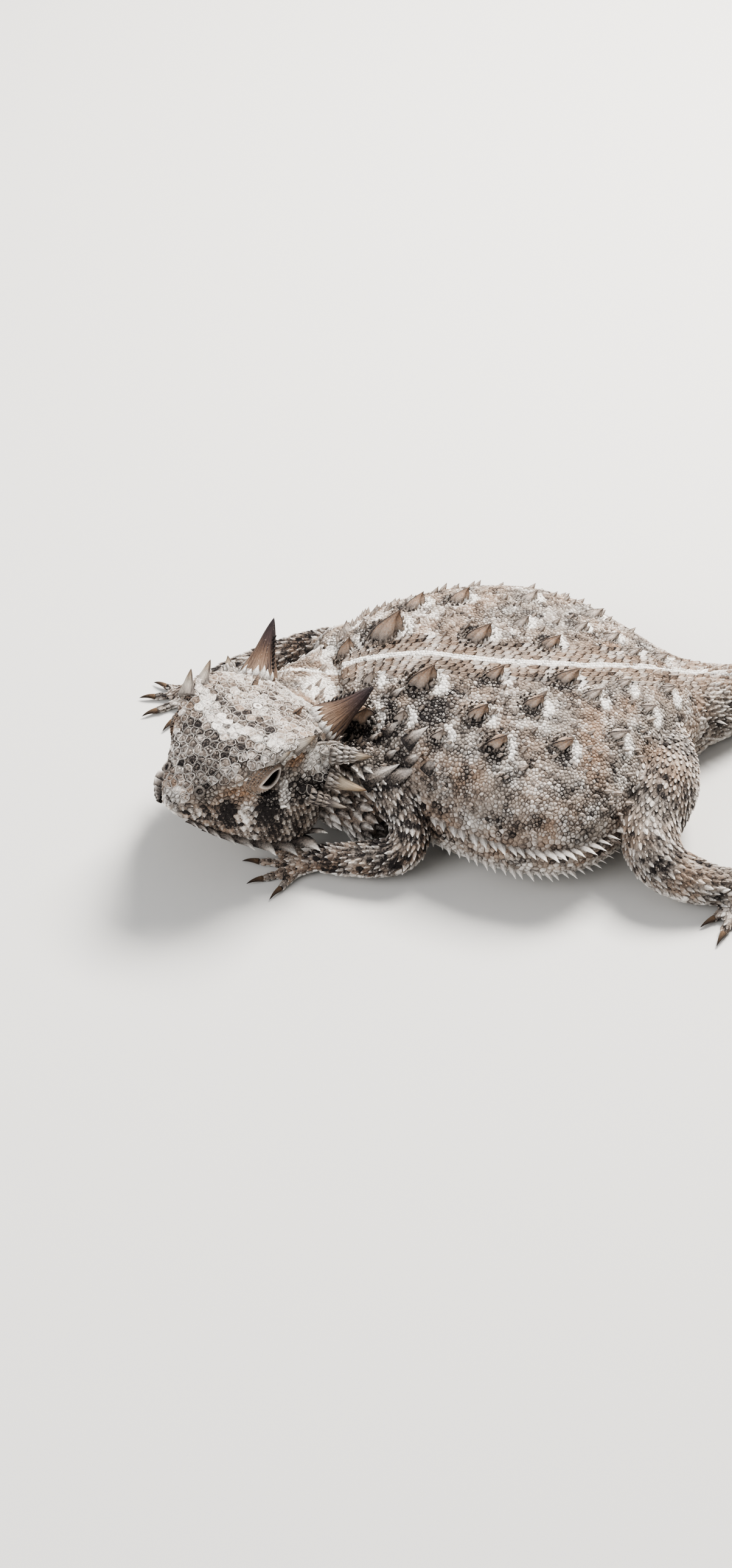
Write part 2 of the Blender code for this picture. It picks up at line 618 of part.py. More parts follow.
# Head.
head = tube("head", [head_ring(x) for x in HEAD_STATIONS], HEAD_SKIN)
additions = []
cutters = []
for side, word in ((1, "left"), (-1, "right")):
    mirror = np.array([1, side, 1])
    additions.append(ball(on_head(EYE_CENTRE * mirror), LIDS, TURN))
    cutters.append(ball(on_head(EYE_CENTRE * mirror), np.full(3, EYE_RADIUS + GAP), TURN, 16, 10))
    tilt = math.radians(SLIT_TILT)
    lean = np.array([[math.cos(tilt), 0, math.sin(tilt)], [0, 1, 0], [-math.sin(tilt), 0, math.cos(tilt)]])
    slit = (EYE_CENTRE + np.array([0, 2.2, 0.1])) * mirror
    cutters.append(ball(on_head(slit), np.array([SLIT_LENGTH / 2, 1.7, SLIT_HEIGHT / 2]), TURN @ lean, 12, 8))
    cutters.append(ball(on_head(NOSTRIL * mirror), np.full(3, NOSTRIL_RADIUS), TURN, 8, 6))
    ball(on_head(EYE_CENTRE * mirror), np.full(3, EYE_RADIUS), TURN, 16, 10).name = f"eye_{word}"
    for k in range(JAW_SPINES):
        share = k / (JAW_SPINES - 1)
        position = 13.8 - 10.8 * share
        row = along(HEAD, position)
        edge, height, length = row[9], row[10], 0.9 + 1.9 * share
        root = np.array([position + 0.5, edge - 0.7, height + 0.7])
        tip = np.array([position - 0.75 * length, edge + 0.75 * length, height - 0.35 * length])
        radius = 0.55 + 0.35 * share
        additions.append(cone(on_head(root * mirror), on_head(tip * mirror), radius, 4, 0.7, TURN[:, 0]))
    for horn, root, tip, radius in HORNS:
        root = on_head(np.array(root) * mirror)
        tip = on_head(np.array(tip) * mirror)
        direction = unit(tip - root)
        look = HORN if horn == "occipital" else PALE_HORN
        horn_shape(root, tip, radius, f"horn_{horn}_{word}", look, HORN_SINK + GAP)
        additions.append(collar(root, tip, radius))
    for root, tip, radius, sides in CROWN_SPINES:
        root, tip = (on_head(np.array(place) * mirror) for place in (root, tip))
        additions.append(cone(root, tip, radius, sides))
combine(head, additions, "UNION", "MANIFOLD")
combine(head, cutters, "DIFFERENCE", "MANIFOLD")
for word in ("left", "right"):
    eye = bpy.data.objects[f"eye_{word}"]
    eye.data.materials.append(EYE)
    eye.data.shade_smooth()

# From millimetres to metres, once every piece is whole.
for made in bpy.data.objects:
    made.data.transform(Matrix.Scale(MM, 4))
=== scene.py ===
# A Texas horned lizard, life size, at rest on flat ground with its head turned to its left.
# The skin is one continuous surface. Scales, spines, horns, eyes, lids and claws are built over it in turn.
# The trunk runs along X, tail towards +X, the animal's left side is towards -Y, and the floor is z = 0.
# Forms are worked out in millimetres and scaled to metres as each piece is finished.
import math
import random

import bmesh
import bpy
import numpy as np
from mathutils import Matrix, Vector, noise
from mathutils.bvhtree import BVHTree
from mathutils.kdtree import KDTree


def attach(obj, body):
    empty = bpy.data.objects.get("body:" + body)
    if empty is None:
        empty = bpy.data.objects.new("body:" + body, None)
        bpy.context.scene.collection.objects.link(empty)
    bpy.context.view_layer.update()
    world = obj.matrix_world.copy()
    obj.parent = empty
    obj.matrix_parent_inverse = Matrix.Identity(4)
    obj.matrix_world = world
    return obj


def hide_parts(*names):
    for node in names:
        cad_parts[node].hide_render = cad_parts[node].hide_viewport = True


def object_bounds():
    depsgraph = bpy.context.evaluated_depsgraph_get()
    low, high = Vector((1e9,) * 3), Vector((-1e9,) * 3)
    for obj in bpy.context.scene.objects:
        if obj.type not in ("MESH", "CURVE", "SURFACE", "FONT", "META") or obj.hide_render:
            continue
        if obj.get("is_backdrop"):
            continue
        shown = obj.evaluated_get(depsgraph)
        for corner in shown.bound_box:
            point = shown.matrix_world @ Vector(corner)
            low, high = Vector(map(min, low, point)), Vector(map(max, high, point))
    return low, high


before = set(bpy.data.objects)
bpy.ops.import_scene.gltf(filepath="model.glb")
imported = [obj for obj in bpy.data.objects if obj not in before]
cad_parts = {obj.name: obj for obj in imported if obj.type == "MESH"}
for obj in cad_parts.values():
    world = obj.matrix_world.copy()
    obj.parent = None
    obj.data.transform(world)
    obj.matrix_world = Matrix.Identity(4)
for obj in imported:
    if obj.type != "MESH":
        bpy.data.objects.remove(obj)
cad_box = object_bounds()
random.seed(7)
chance = np.random.default_rng(7)
noise.seed_set(7)

# Trunk: a broad, flat barrel of skin over the ribs, widest in the middle and flat underneath where it rests.
# It is lofted through sections, a little inside the finished surface to leave room for the scales.
MM = 0.001
UP = np.array([0.0, 0.0, 1.0])
SKIN_DEPTH = 0.22
BELLY_DEPTH, SECTION_POWER = 0.9, 0.86
# Position along X, middle line y, half width, heights of the back and of the widest line, turn in degrees.
TRUNK = [
    (-19.5, 3.1, 10.4, 14.0, 6.4, 0.0),
    (-17.0, 3.0, 13.3, 15.1, 6.3, 0.0),
    (-13.0, 2.3, 16.6, 16.3, 6.2, 0.0),
    (-9.0, 1.2, 19.0, 17.1, 6.2, 0.0),
    (-4.0, 0.0, 21.2, 17.5, 6.3, 0.0),
    (1.0, -0.9, 22.2, 17.5, 6.3, 0.0),
    (6.0, -1.2, 21.5, 17.1, 6.2, 0.0),
    (11.0, -0.9, 18.4, 16.0, 6.0, 0.0),
    (15.0, -0.1, 14.2, 14.4, 5.6, 0.0),
    (18.0, 1.1, 10.2, 12.8, 5.4, 0.0),
    (21.0, 2.5, 6.9, 10.9, 5.3, 0.0),
    (23.6, 3.9, 5.1, 9.4, 5.1, 0.0),
]
# A point's facts are its part's number, its share of the way along and round that part, and its scales' lie.
ARMS, LEGS, PAWS = ["arm_left", "arm_right"], ["leg_left", "leg_right"], ["hand", "foot"]
PARTS = ["trunk", "tail", "neck", "head"] + ARMS + LEGS + PAWS
flesh = bmesh.new()
form_places = []
form_facts = []


def unit(vector):
    return vector / np.linalg.norm(vector)


def along(table, position):
    """The values at a position on the smooth curves through the rows of a table."""
    rows = np.array(table, float)
    where, values = rows[:, 0], rows[:, 1:]
    slopes = np.gradient(values, where, axis=0)
    k = int(np.clip(np.searchsorted(where, position) - 1, 0, len(where) - 2))
    span = where[k + 1] - where[k]
    t = np.clip((position - where[k]) / span, 0, 1)
    return (
        (2 * t**3 - 3 * t**2 + 1) * values[k]
        + (t**3 - 2 * t**2 + t) * span * slopes[k]
        + (3 * t**2 - 2 * t**3) * values[k + 1]
        + (t**3 - t**2) * span * slopes[k + 1]
    )


def section_point(table, position, angle, side, depth=BELLY_DEPTH):
    """A point on the trunk or tail. angle is 90 on top of the back, 0 at the widest line, -90 underneath."""
    middle, width, back, level, turn = along(table, position)
    c, s = math.cos(math.radians(angle)), math.sin(math.radians(angle))
    if angle >= 0:
        out, high = width * c**SECTION_POWER, level + (back - level) * s**0.88
    else:
        out, high = width * abs(c) ** 0.62, level - (level + depth) * abs(s) ** 0.72
    heading = math.radians(turn)
    out *= side
    return np.array([position - math.sin(heading) * out, middle + math.cos(heading) * out, high])


def section_ring(table, position, count, depth=BELLY_DEPTH):
    ring = []
    for k in range(count):
        turn = 360 * k / count
        side = 1 if turn < 180 else -1
        angle = 90 - turn if side == 1 else turn - 270
        ring.append(section_point(table, position, angle, side, depth))
    return np.array(ring)


def bridge_rings(bm, rings, closed=True):
    """Joins rings of points into a tube, with its ends closed or left open."""
    loops = []
    for ring in rings:
        made = bmesh.ops.create_circle(bm, segments=len(ring), radius=1.0)["verts"]
        for vert, point in zip(made, ring):
            vert.co = point
        loops.append({edge for vert in made for edge in vert.link_edges})
    for first, second in zip(loops, loops[1:]):
        bmesh.ops.bridge_loops(bm, edges=list(first | second))
    if closed:
        bmesh.ops.edgeloop_fill(bm, edges=list(loops[0]))
        bmesh.ops.edgeloop_fill(bm, edges=list(loops[-1]))


def loft(part, rings, lie=None, depth=SKIN_DEPTH):
    """One closed form of the flesh through rings, drawn in by the skin's depth, with its points' facts."""
    middles = [ring.mean(axis=0) for ring in rings]
    last = len(rings) - 1
    sunk = []
    for step, ring in enumerate(rings):
        inward = ring - middles[step]
        length = np.linalg.norm(inward, axis=1, keepdims=True)
        sunk.append(middles[step] + inward * (1 - np.minimum(depth / (length + 1e-6), 0.5)))
        way = unit(middles[min(step + 1, last)] - middles[max(step - 1, 0)]) if lie is None else lie
        for k, point in enumerate(sunk[-1]):
            form_places.append(point)
            form_facts.append((PARTS.index(part), step / last, k / len(ring), *way))
    bridge_rings(flesh, sunk)


loft("trunk", [section_ring(TRUNK, x, 56) for x in np.linspace(TRUNK[0][0], TRUNK[-1][0] + 0.3, 40)])

# Tail: short, flat and broad at the root, then slender, curving a little to the animal's right.
# It carries on from the trunk's last section and ends in a blunt point.
TAIL = [
    (23.9, 4.0, 5.0, 9.3, 5.0, 0.0),
    (27.5, 5.7, 4.0, 7.9, 4.2, 17.0),
    (32.0, 7.7, 3.4, 6.4, 3.3, 24.0),
    (38.0, 10.2, 2.8, 5.0, 2.5, 22.0),
    (45.0, 12.7, 2.1, 3.6, 1.8, 18.0),
    (51.0, 14.5, 1.3, 2.3, 1.1, 14.0),
    (55.5, 15.5, 0.45, 1.0, 0.5, 12.0),
]
TAIL_DEPTH = 0.35
tail_start = [section_ring(TRUNK, TRUNK[-1][0] - 0.8, 28, TAIL_DEPTH)]
loft("tail", tail_start + [section_ring(TAIL, x, 28, TAIL_DEPTH) for x in np.linspace(23.9, 55.5, 40)])

# Head: a flat, shielded crown, brows that stand out over the eyes, deep cheeks and a short blunt muzzle.
# Its own frame starts at the middle of the back of the crown, x forward, y to the animal's left, z up.
OCCIPUT = np.array([-26.0, -5.2, 17.0])
HEAD_YAW, HEAD_PITCH, HEAD_ROLL = 224.6, 13.7, -4.7
# Position along the head, crown height, half width and height at brow, eye, cheek, lip and jaw, then chin.
HEAD = [
    (-1.0, 0.1, 5.6, -0.9, 7.5, -3.4, 8.6, -6.2, 8.7, -9.6, 8.1, -12.3, -12.6),
    (2.5, 0.8, 7.0, 0.1, 7.9, -3.2, 8.9, -6.2, 9.2, -9.7, 9.0, -13.2, -13.7),
    (6.0, 0.9, 7.9, 0.9, 7.4, -3.0, 8.5, -6.4, 9.0, -9.8, 8.8, -13.5, -14.1),
    (10.0, 0.4, 7.6, 0.0, 6.4, -3.4, 7.5, -6.9, 7.8, -9.8, 7.4, -12.6, -13.3),
    (11.6, 0.0, 7.0, -1.6, 5.7, -4.1, 6.4, -7.2, 6.6, -9.7, 6.1, -12.2, -12.9),
    (13.2, -1.0, 5.6, -3.0, 5.0, -5.2, 5.2, -7.4, 5.3, -9.5, 4.8, -11.7, -12.3),
    (15.4, -3.1, 3.8, -4.6, 3.6, -6.0, 3.7, -7.6, 3.7, -9.0, 3.3, -10.6, -11.1),
    (16.8, -4.8, 2.7, -5.6, 2.7, -6.5, 2.6, -7.5, 2.5, -8.6, 2.2, -9.8, -10.3),
    (17.8, -6.2, 1.8, -6.5, 1.8, -7.1, 1.7, -7.6, 1.6, -8.2, 1.3, -8.9, -9.3),
    (18.4, -7.0, 0.9, -7.1, 0.9, -7.4, 0.9, -7.7, 0.9, -8.0, 0.7, -8.5, -8.7),
]
LIP_HEIGHT = 9
LIDS = np.array([2.85, 2.85, 2.5])
EYE_CENTRE = np.array([10.1, 4.6, -3.5])


def head_turn():
    """The head's directions as columns: forward, to its left, up."""
    yaw, pitch, roll = (math.radians(v) for v in (HEAD_YAW, HEAD_PITCH, HEAD_ROLL))
    forward = np.array([math.cos(yaw) * math.cos(pitch), math.sin(yaw) * math.cos(pitch), math.sin(pitch)])
    left = np.array([-math.sin(yaw), math.cos(yaw), 0.0])
    up = np.cross(forward, left)
    rolled_left = left * math.cos(roll) + up * math.sin(roll)
    rolled_up = up * math.cos(roll) - left * math.sin(roll)
    return np.stack([forward, rolled_left, rolled_up], 1)


TURN = head_turn()


def on_head(point):
    return OCCIPUT + np.asarray(point, float) @ TURN.T


def in_head(points):
    """Points of the whole animal in the head's own frame."""
    return (np.asarray(points) - OCCIPUT) @ TURN


def head_ring(position):
    row = along(HEAD, position)
    crown, brow, brow_high, eye, eye_high, cheek, cheek_high, lip, lip_high, jaw, jaw_high, chin = row
    half = [
        (0.0, crown),
        (brow * 0.35, crown + 0.02),
        (brow * 0.72, (crown + brow_high) / 2 + 0.15),
        (brow, brow_high),
        (brow - 0.1, brow_high - 0.7),
        ((brow + eye) / 2 - 0.35, (brow_high + eye_high) / 2 - 0.3),
        (eye, eye_high),
        ((eye + cheek) / 2 + 0.1, (eye_high + cheek_high) / 2),
        (cheek, cheek_high),
        ((cheek + lip) / 2 + 0.15, (cheek_high + lip_high) / 2),
        (lip, lip_high + 0.3),
        (lip - 0.25, lip_high),
        (lip - 0.1, lip_high - 0.4),
        (jaw, jaw_high),
        (jaw * 0.62, chin + 0.25),
        (0.0, chin),
    ]
    left = [on_head((position, y, z)) for y, z in half]
    right = [on_head((position, -y, z)) for y, z in half[-2:0:-1]]
    return np.array(left + right)


def form_ball(part, centre, radii, turn, lie):
    """An ellipsoid of flesh, such as a shoulder or the bulge of the closed lids."""
    made = bmesh.ops.create_uvsphere(flesh, u_segments=20, v_segments=12, radius=1.0)["verts"]
    for vert in made:
        vert.co = turn @ (np.array(vert.co) * (np.asarray(radii) - SKIN_DEPTH)) + centre
        form_places.append(np.array(vert.co))
        form_facts.append((PARTS.index(part), 0.5, 0.25, *lie))


head_stations = [-1.0, 0.0, 1.2, 2.4, 3.6, 4.8, 6.0, 7.2, 8.4, 9.6, 10.8, 12.0, 13.1, 14.1, 15.0, 15.8]
head_stations += [16.5, 17.1, 17.6, 18.0, 18.4]
loft("head", [head_ring(x) for x in head_stations], -TURN[:, 0])
for side in (1, -1):
    form_ball("head", on_head(EYE_CENTRE * [1, side, 1]), LIDS, TURN, -TURN[:, 0])

# Horns: eight of bone cased in horn, two great ones at the back of the crown and three down each temple.
# Each stands on a boss of the skull, which the flesh of the head takes in.
# Name, middle of the foot and tip on the head's left side, radius at the foot.
HORNS = [
    ("occipital", (-0.2, 5.2, -0.9), (-4.3, 7.9, 4.7), 2.2),
    ("temporal_1", (0.6, 8.0, -2.9), (-2.2, 11.6, -2.2), 1.15),
    ("temporal_2", (1.5, 9.0, -5.4), (-1.0, 12.8, -5.8), 1.05),
    ("temporal_3", (4.2, 9.0, -6.9), (1.5, 12.4, -7.5), 0.8),
]


def oval(centre, across, upward, half_width, half_height, count, power=2.0):
    turns = np.arange(count) * 2 * math.pi / count
    c, s = np.cos(turns), np.sin(turns)
    x = half_width * np.sign(c) * np.abs(c) ** (2 / power)
    y = half_height * np.sign(s) * np.abs(s) ** (2 / power)
    return centre + x[:, None] * across + y[:, None] * upward


def horn_frame(name, side):
    """Foot, tip, direction, across and upward directions, and radius of one horn."""
    foot, tip, radius = next(row[1:] for row in HORNS if row[0] == name)
    foot, tip = on_head(np.array(foot) * [1, side, 1]), on_head(np.array(tip) * [1, side, 1])
    direction = unit(tip - foot)
    across = unit(np.cross(direction, TURN[:, 2]))
    return foot, tip, direction, across, np.cross(across, direction), radius


for side in (1, -1):
    for name, _, _, _ in HORNS:
        foot, _, direction, across, upward, radius = horn_frame(name, side)
        boss = []
        for sink, size in ((-2.4, 1.55), (-1.4, 1.42), (-0.6, 1.25), (0.1, 1.1), (0.7, 0.95)):
            boss.append(oval(foot + direction * sink, across, upward, radius * size, radius * size, 16))
        loft("head", boss, direction)

# Neck: very short and broad, a loose fold of skin between the back of the head and the shoulders.
# It follows the turn of the head, and swells into a fold on the side that the head is turned to.
NECK_DROP = -6.4
trunk_front = section_ring(TRUNK, TRUNK[0][0], 28, 0.4).mean(axis=0)
head_back = on_head((-1.3, 0, NECK_DROP))
neck_rings = []
for t in np.linspace(-0.12, 1.12, 16):
    s = min(max(t, 0), 1)
    centre = (2 * s**3 - 3 * s**2 + 1) * trunk_front + (3 * s**2 - 2 * s**3) * head_back
    centre = centre + (s**3 - 2 * s**2 + s) * np.array([-8.0, 0, 0]) + (s**3 - s**2) * TURN[:, 0] * 8.0
    centre = centre + (t - s) * np.array([-14.0, 0, 0] if t < 0.5 else TURN[:, 0] * 14.0)
    across = unit((1 - s) * np.array([0, -1.0, 0]) + s * TURN[:, 1])
    upward = unit((1 - s) * UP + s * TURN[:, 2])
    wide = 9.7 * (1 - s) + 7.8 * s - 0.3 * math.sin(math.pi * s)
    high = 6.3 * (1 - s) + 5.1 * s - 0.4 * math.sin(math.pi * s)
    neck_rings.append(oval(centre, across, upward, wide, high, 32, 2.3))
loft("neck", neck_rings[::-1])
# Swells of the fold, the near shoulder under it and both shoulders: part, centre, radii, lie of the scales.
SWELLS = [
    ("neck", (-20.7, -9.9, 5.2), (3.4, 4.3, 3.9), (0.9, -0.4, 0.0)),
    ("trunk", (-17.9, -11.2, 4.2), (3.4, 4.0, 3.9), (0.9, -0.4, 0.0)),
    ("trunk", (-17.0, -8.6, 8.2), (4.4, 4.4, 4.2), (1.0, 0.0, 0.0)),
    ("trunk", (-18.4, 11.4, 7.6), (4.6, 4.4, 4.4), (1.0, 0.0, 0.0)),
]
for part, centre, radii, lie in SWELLS:
    form_ball(part, np.array(centre), radii, np.eye(3), lie)

# Limbs: the near forearm is laid along the ground under the jaw, and the far one reaches forward.
# The thighs stand out from the hips, and the feet are drawn up beside the body.
NEAR_ARM = [
    (-15.5, -6.0, 7.6), (-15.0, -11.0, 8.2), (-13.0, -15.4, 5.8),
    (-14.2, -18.2, 3.6), (-19.0, -17.9, 2.5), (-24.6, -16.5, 1.9),
]
FAR_ARM = [
    (-15.5, 9.0, 7.4), (-18.0, 13.2, 7.4), (-22.0, 16.2, 5.2),
    (-26.5, 17.0, 3.4), (-31.5, 16.2, 2.2), (-36.2, 14.4, 1.7),
]
ARM_SIZES = [
    (0.0, 3.4, 3.2), (0.2, 2.9, 3.0), (0.4, 2.5, 2.7),
    (0.6, 2.3, 2.4), (0.8, 2.1, 2.1), (1.0, 1.6, 1.5),
]
NEAR_LEG = [
    (17.0, -3.4, 5.6), (16.6, -12.0, 6.8), (14.4, -18.6, 6.0),
    (15.4, -23.0, 4.4), (20.0, -24.9, 2.9), (24.8, -24.4, 1.9),
]
FAR_LEG = [
    (16.4, 5.0, 5.6), (13.2, 11.2, 5.8), (9.0, 15.8, 4.9),
    (6.2, 19.4, 3.8), (8.2, 22.6, 2.8), (12.8, 23.0, 1.9),
]
LEG_SIZES = [
    (0.0, 4.4, 4.0), (0.2, 4.6, 4.7), (0.4, 3.7, 4.0),
    (0.6, 3.0, 3.3), (0.8, 2.5, 2.6), (1.0, 1.7, 1.7),
]
# Length, half width and thickness of the palm or sole, then heading, length and half width of each toe.
HAND = (3.2, 2.5, 1.5, [(-62, 2.6, 0.62), (-30, 4.0, 0.62), (-4, 4.6, 0.62), (24, 4.2, 0.62), (58, 3.0, 0.6)])
FOOT = (4.0, 2.7, 1.6, [(-55, 3.0, 0.7), (-28, 4.8, 0.7), (-6, 6.4, 0.7), (16, 7.2, 0.7), (52, 4.0, 0.66)])
# Share of the way along, width and height of the palm's sections and of a toe's with its knuckles.
PALM = [
    (-0.2, 0.6, 0.9), (0.0, 0.72, 1.0), (0.3, 0.85, 0.95),
    (0.65, 1.0, 0.8), (0.9, 0.95, 0.62), (1.0, 0.7, 0.45),
]
TOE = [
    (0.0, 1.2, 0.9), (0.2, 1.0, 0.85), (0.38, 1.15, 1.05),
    (0.56, 0.92, 0.85), (0.74, 1.02, 0.9), (1.0, 0.7, 0.6),
]
# Name, points, sizes along the way, heading of the hand or foot in degrees, its sizes.
LIMBS = [
    ("arm_left", NEAR_ARM, ARM_SIZES, 172, HAND),
    ("arm_right", FAR_ARM, ARM_SIZES, 207, HAND),
    ("leg_left", NEAR_LEG, LEG_SIZES, 268, FOOT),
    ("leg_right", FAR_LEG, LEG_SIZES, 152, FOOT),
]
claw_roots = []
for name, points, sizes, heading, (palm_length, palm_width, thick, toes) in LIMBS:
    path = [(k / (len(points) - 1), *point) for k, point in enumerate(points)]
    rings = []
    for t in np.linspace(0.0, 1.0, 26):
        tangent = unit(along(path, min(t + 0.01, 1.0)) - along(path, max(t - 0.01, 0.0)))
        across = unit(np.cross(tangent, UP))
        wide, high = along(sizes, t)
        rings.append(oval(along(path, t), across, np.cross(across, tangent), wide, high, 20, 2.2))
    loft(name, rings)
    palm_part = "hand" if name.startswith("arm") else "foot"
    wrist = along(path, 0.97)
    tangent[2] = 0
    forward = np.array([math.cos(math.radians(heading)), math.sin(math.radians(heading)), 0.0])
    across = np.array([-forward[1], forward[0], 0.0])
    ground = np.array([wrist[0], wrist[1], 0]) + unit(tangent) * 0.7
    rings = []
    for share, wide, high in PALM:
        drop = wrist[2] * 0.8 * (1 - share) + thick * 0.5 * share
        centre = ground + forward * palm_length * share + UP * drop
        rings.append(oval(centre, across, UP, palm_width * wide, thick * high, 16, 2.3))
    loft(palm_part, rings)
    for turn, length, width in toes:
        spread = math.radians(turn)
        way = forward * math.cos(spread) + across * math.sin(spread)
        sideways = np.array([-way[1], way[0], 0.0])
        root = ground + forward * palm_length * 0.6 + across * palm_width * 0.75 * math.sin(spread)
        rings = []
        for share, size, high in TOE:
            centre = root + way * length * share + UP * thick * 0.42 * high
            rings.append(oval(centre, sideways, UP, width * size, width * size * 0.95, 12))
        loft(palm_part, rings, depth=0.08)
        claw_roots.append((root + way * (length - 0.35) + UP * (thick * 0.25 + 0.12), way, width))

# Skin: one surface over all of that, with no seam between head, neck, trunk, tail and limbs.
# The forms are fused, smoothed where they meet, and pressed level where the belly, hands and feet rest.
VOXEL = 0.36
REST_HEIGHT = 0.12


def mesh_of(name, bm):
    mesh = bpy.data.meshes.new(name)
    bm.to_mesh(mesh)
    bm.free()
    return mesh


def mesh_object(name, mesh):
    made = bpy.data.objects.new(name, mesh)
    bpy.context.scene.collection.objects.link(made)
    return made


def apply_modifiers(piece):
    """Keeps the mesh that the modifiers make, and takes them off."""
    evaluated = piece.evaluated_get(bpy.context.evaluated_depsgraph_get())
    piece.data = bpy.data.meshes.new_from_object(evaluated)
    piece.modifiers.clear()


def corners(mesh):
    places = np.empty(len(mesh.vertices) * 3, np.float32)
    mesh.vertices.foreach_get("co", places)
    return places.reshape(-1, 3).astype(float)


def add_facts(mesh, name, values):
    """Writes one colour per point for the materials to read."""
    layer = mesh.attributes.new(name, "FLOAT_COLOR", "POINT")
    padded = np.ones((len(values), 4), np.float32)
    padded[:, : values.shape[1]] = values
    layer.data.foreach_set("color", padded.ravel())


skin = mesh_object("body_skin", mesh_of("flesh", flesh))
fuse = skin.modifiers.new("fuse", "REMESH")
fuse.mode = "VOXEL"
fuse.voxel_size = VOXEL
fuse.use_smooth_shade = True
settle = skin.modifiers.new("settle", "SMOOTH")
settle.factor = 0.5
settle.iterations = 5
apply_modifiers(skin)
skin_points = corners(skin.data)
skin_points[:, 2] = np.maximum(skin_points[:, 2], REST_HEIGHT)
# Each eye sits in a round hollow pressed into the bulge of its lids.
SOCKET_REACH, SOCKET_DEPTH = 2.25, 2.2
for side in (1, -1):
    near = in_head(skin_points)
    centre = EYE_CENTRE * [1, side, 1]
    out = np.hypot((near[:, 0] - centre[0]) / 1.12, near[:, 2] - centre[2]) / SOCKET_REACH
    inside = (out < 1) & (near[:, 1] * side > 1.0)
    floor = EYE_CENTRE[1] - SOCKET_DEPTH * np.sqrt(np.clip(1 - out**2, 0, 1)) + 1.0 * out**4
    near[inside, 1] = side * np.minimum(np.abs(near[inside, 1]), floor[inside] + 1.2 * out[inside] ** 8)
    skin_points[inside] = near[inside] @ TURN.T + OCCIPUT
skin.data.vertices.foreach_set("co", skin_points.astype(np.float32).ravel())
skin.data.update()


def tree_of(points):
    tree = KDTree(len(points))
    for index, point in enumerate(points):
        tree.insert(point, index)
    tree.balance()
    return tree


# The skin's points take the facts of the nearest point of the forms that it was fused from.
form_tree = tree_of(form_places)
form_facts = np.array(form_facts)
skin_facts = form_facts[[form_tree.find(point)[1] for point in skin_points]]
skin_normals = np.array([vert.normal for vert in skin.data.vertices])
skin_surface = BVHTree.FromPolygons(
    [Vector(point) for point in skin_points], [tuple(face.vertices) for face in skin.data.polygons]
)

# Markings: pale ash and sand, mottled with near-black, as the animal's own soil is.
# Soft spots in the head's or body's frame: centre, radii, then how dark, ochre and pale they make the skin.
HEAD_SPOTS = [
    ((3.2, 2.0, 0.6), (2.6, 3.6, 1.2), (0.34, 0.18, 0.15)),
    ((5.6, 0.0, 0.9), (1.8, 1.8, 1.0), (0.2, 0.08, 0.5)),
    ((15.4, 1.6, -3.6), (2.1, 3.2, 2.4), (0.42, 0.05, 0.12)),
    ((18.2, 0.0, -7.0), (1.1, 1.6, 1.1), (0.15, 0.0, 0.55)),
    ((16.0, 2.9, -5.9), (1.2, 1.5, 1.2), (0.45, 0.05, 0.1)),
    ((13.7, 5.0, -8.0), (0.85, 2.0, 1.7), (0.95, 0.0, 0.0)),
    ((11.8, 6.3, -8.4), (0.9, 2.0, 1.9), (0.0, 0.15, 0.55)),
    ((9.7, 7.4, -7.2), (1.3, 2.2, 2.4), (0.97, 0.0, 0.0)),
    ((7.7, 8.0, -6.0), (0.75, 1.8, 1.7), (0.0, 0.1, 1.0)),
    ((4.0, 9.2, -5.7), (3.6, 3.2, 1.9), (0.80, 0.0, 0.05)),
    ((12.6, 5.6, -5.0), (2.0, 1.6, 0.9), (0.15, 0.55, 0.1)),
    ((6.2, 7.4, -2.0), (1.4, 1.4, 1.2), (0.15, 0.55, 0.1)),
    ((2.6, 8.0, -3.1), (2.4, 2.2, 1.3), (0.05, 0.0, 0.55)),
    ((8.3, 8.3, -11.0), (1.1, 1.6, 1.6), (0.6, 0.1, 0.0)),
    ((4.9, 8.8, -10.8), (1.0, 1.6, 1.6), (0.6, 0.1, 0.0)),
    ((0.4, 9.0, -9.4), (1.8, 2.0, 1.6), (0.65, 0.1, 0.0)),
]
# Bands that cross the crown: place along it at the middle, half thickness, half breadth, dark and pale.
CROWN_BANDS = [
    (9.0, 0.6, 5.2, 0.62, 0.0),
    (11.0, 0.85, 8.0, 0.08, 0.62),
    (13.3, 0.85, 5.2, 0.55, 0.0),
]
BODY_SPOTS = [
    ((-18.4, -6.0, 12.0), (2.7, 3.2, 4.0), (0.95, 0.0, 0.0)),
    ((-24.6, 4.4, 12.0), (2.2, 2.4, 6.0), (0.95, 0.0, 0.0)),
    ((-22.4, 0.4, 13.4), (2.2, 2.8, 3.0), (0.0, 0.0, 0.9)),
    ((-20.6, 7.5, 11.5), (1.4, 3.6, 4.0), (0.05, 0.0, 0.7)),
    ((-15.3, -6.4, 13.8), (2.2, 2.6, 3.5), (0.85, 0.0, 0.1)),
    ((-9.6, -7.6, 15.0), (2.2, 2.4, 3.0), (0.75, 0.0, 0.1)),
    ((-14.6, -11.5, 11.5), (2.0, 1.8, 4.0), (0.6, 0.0, 0.0)),
]
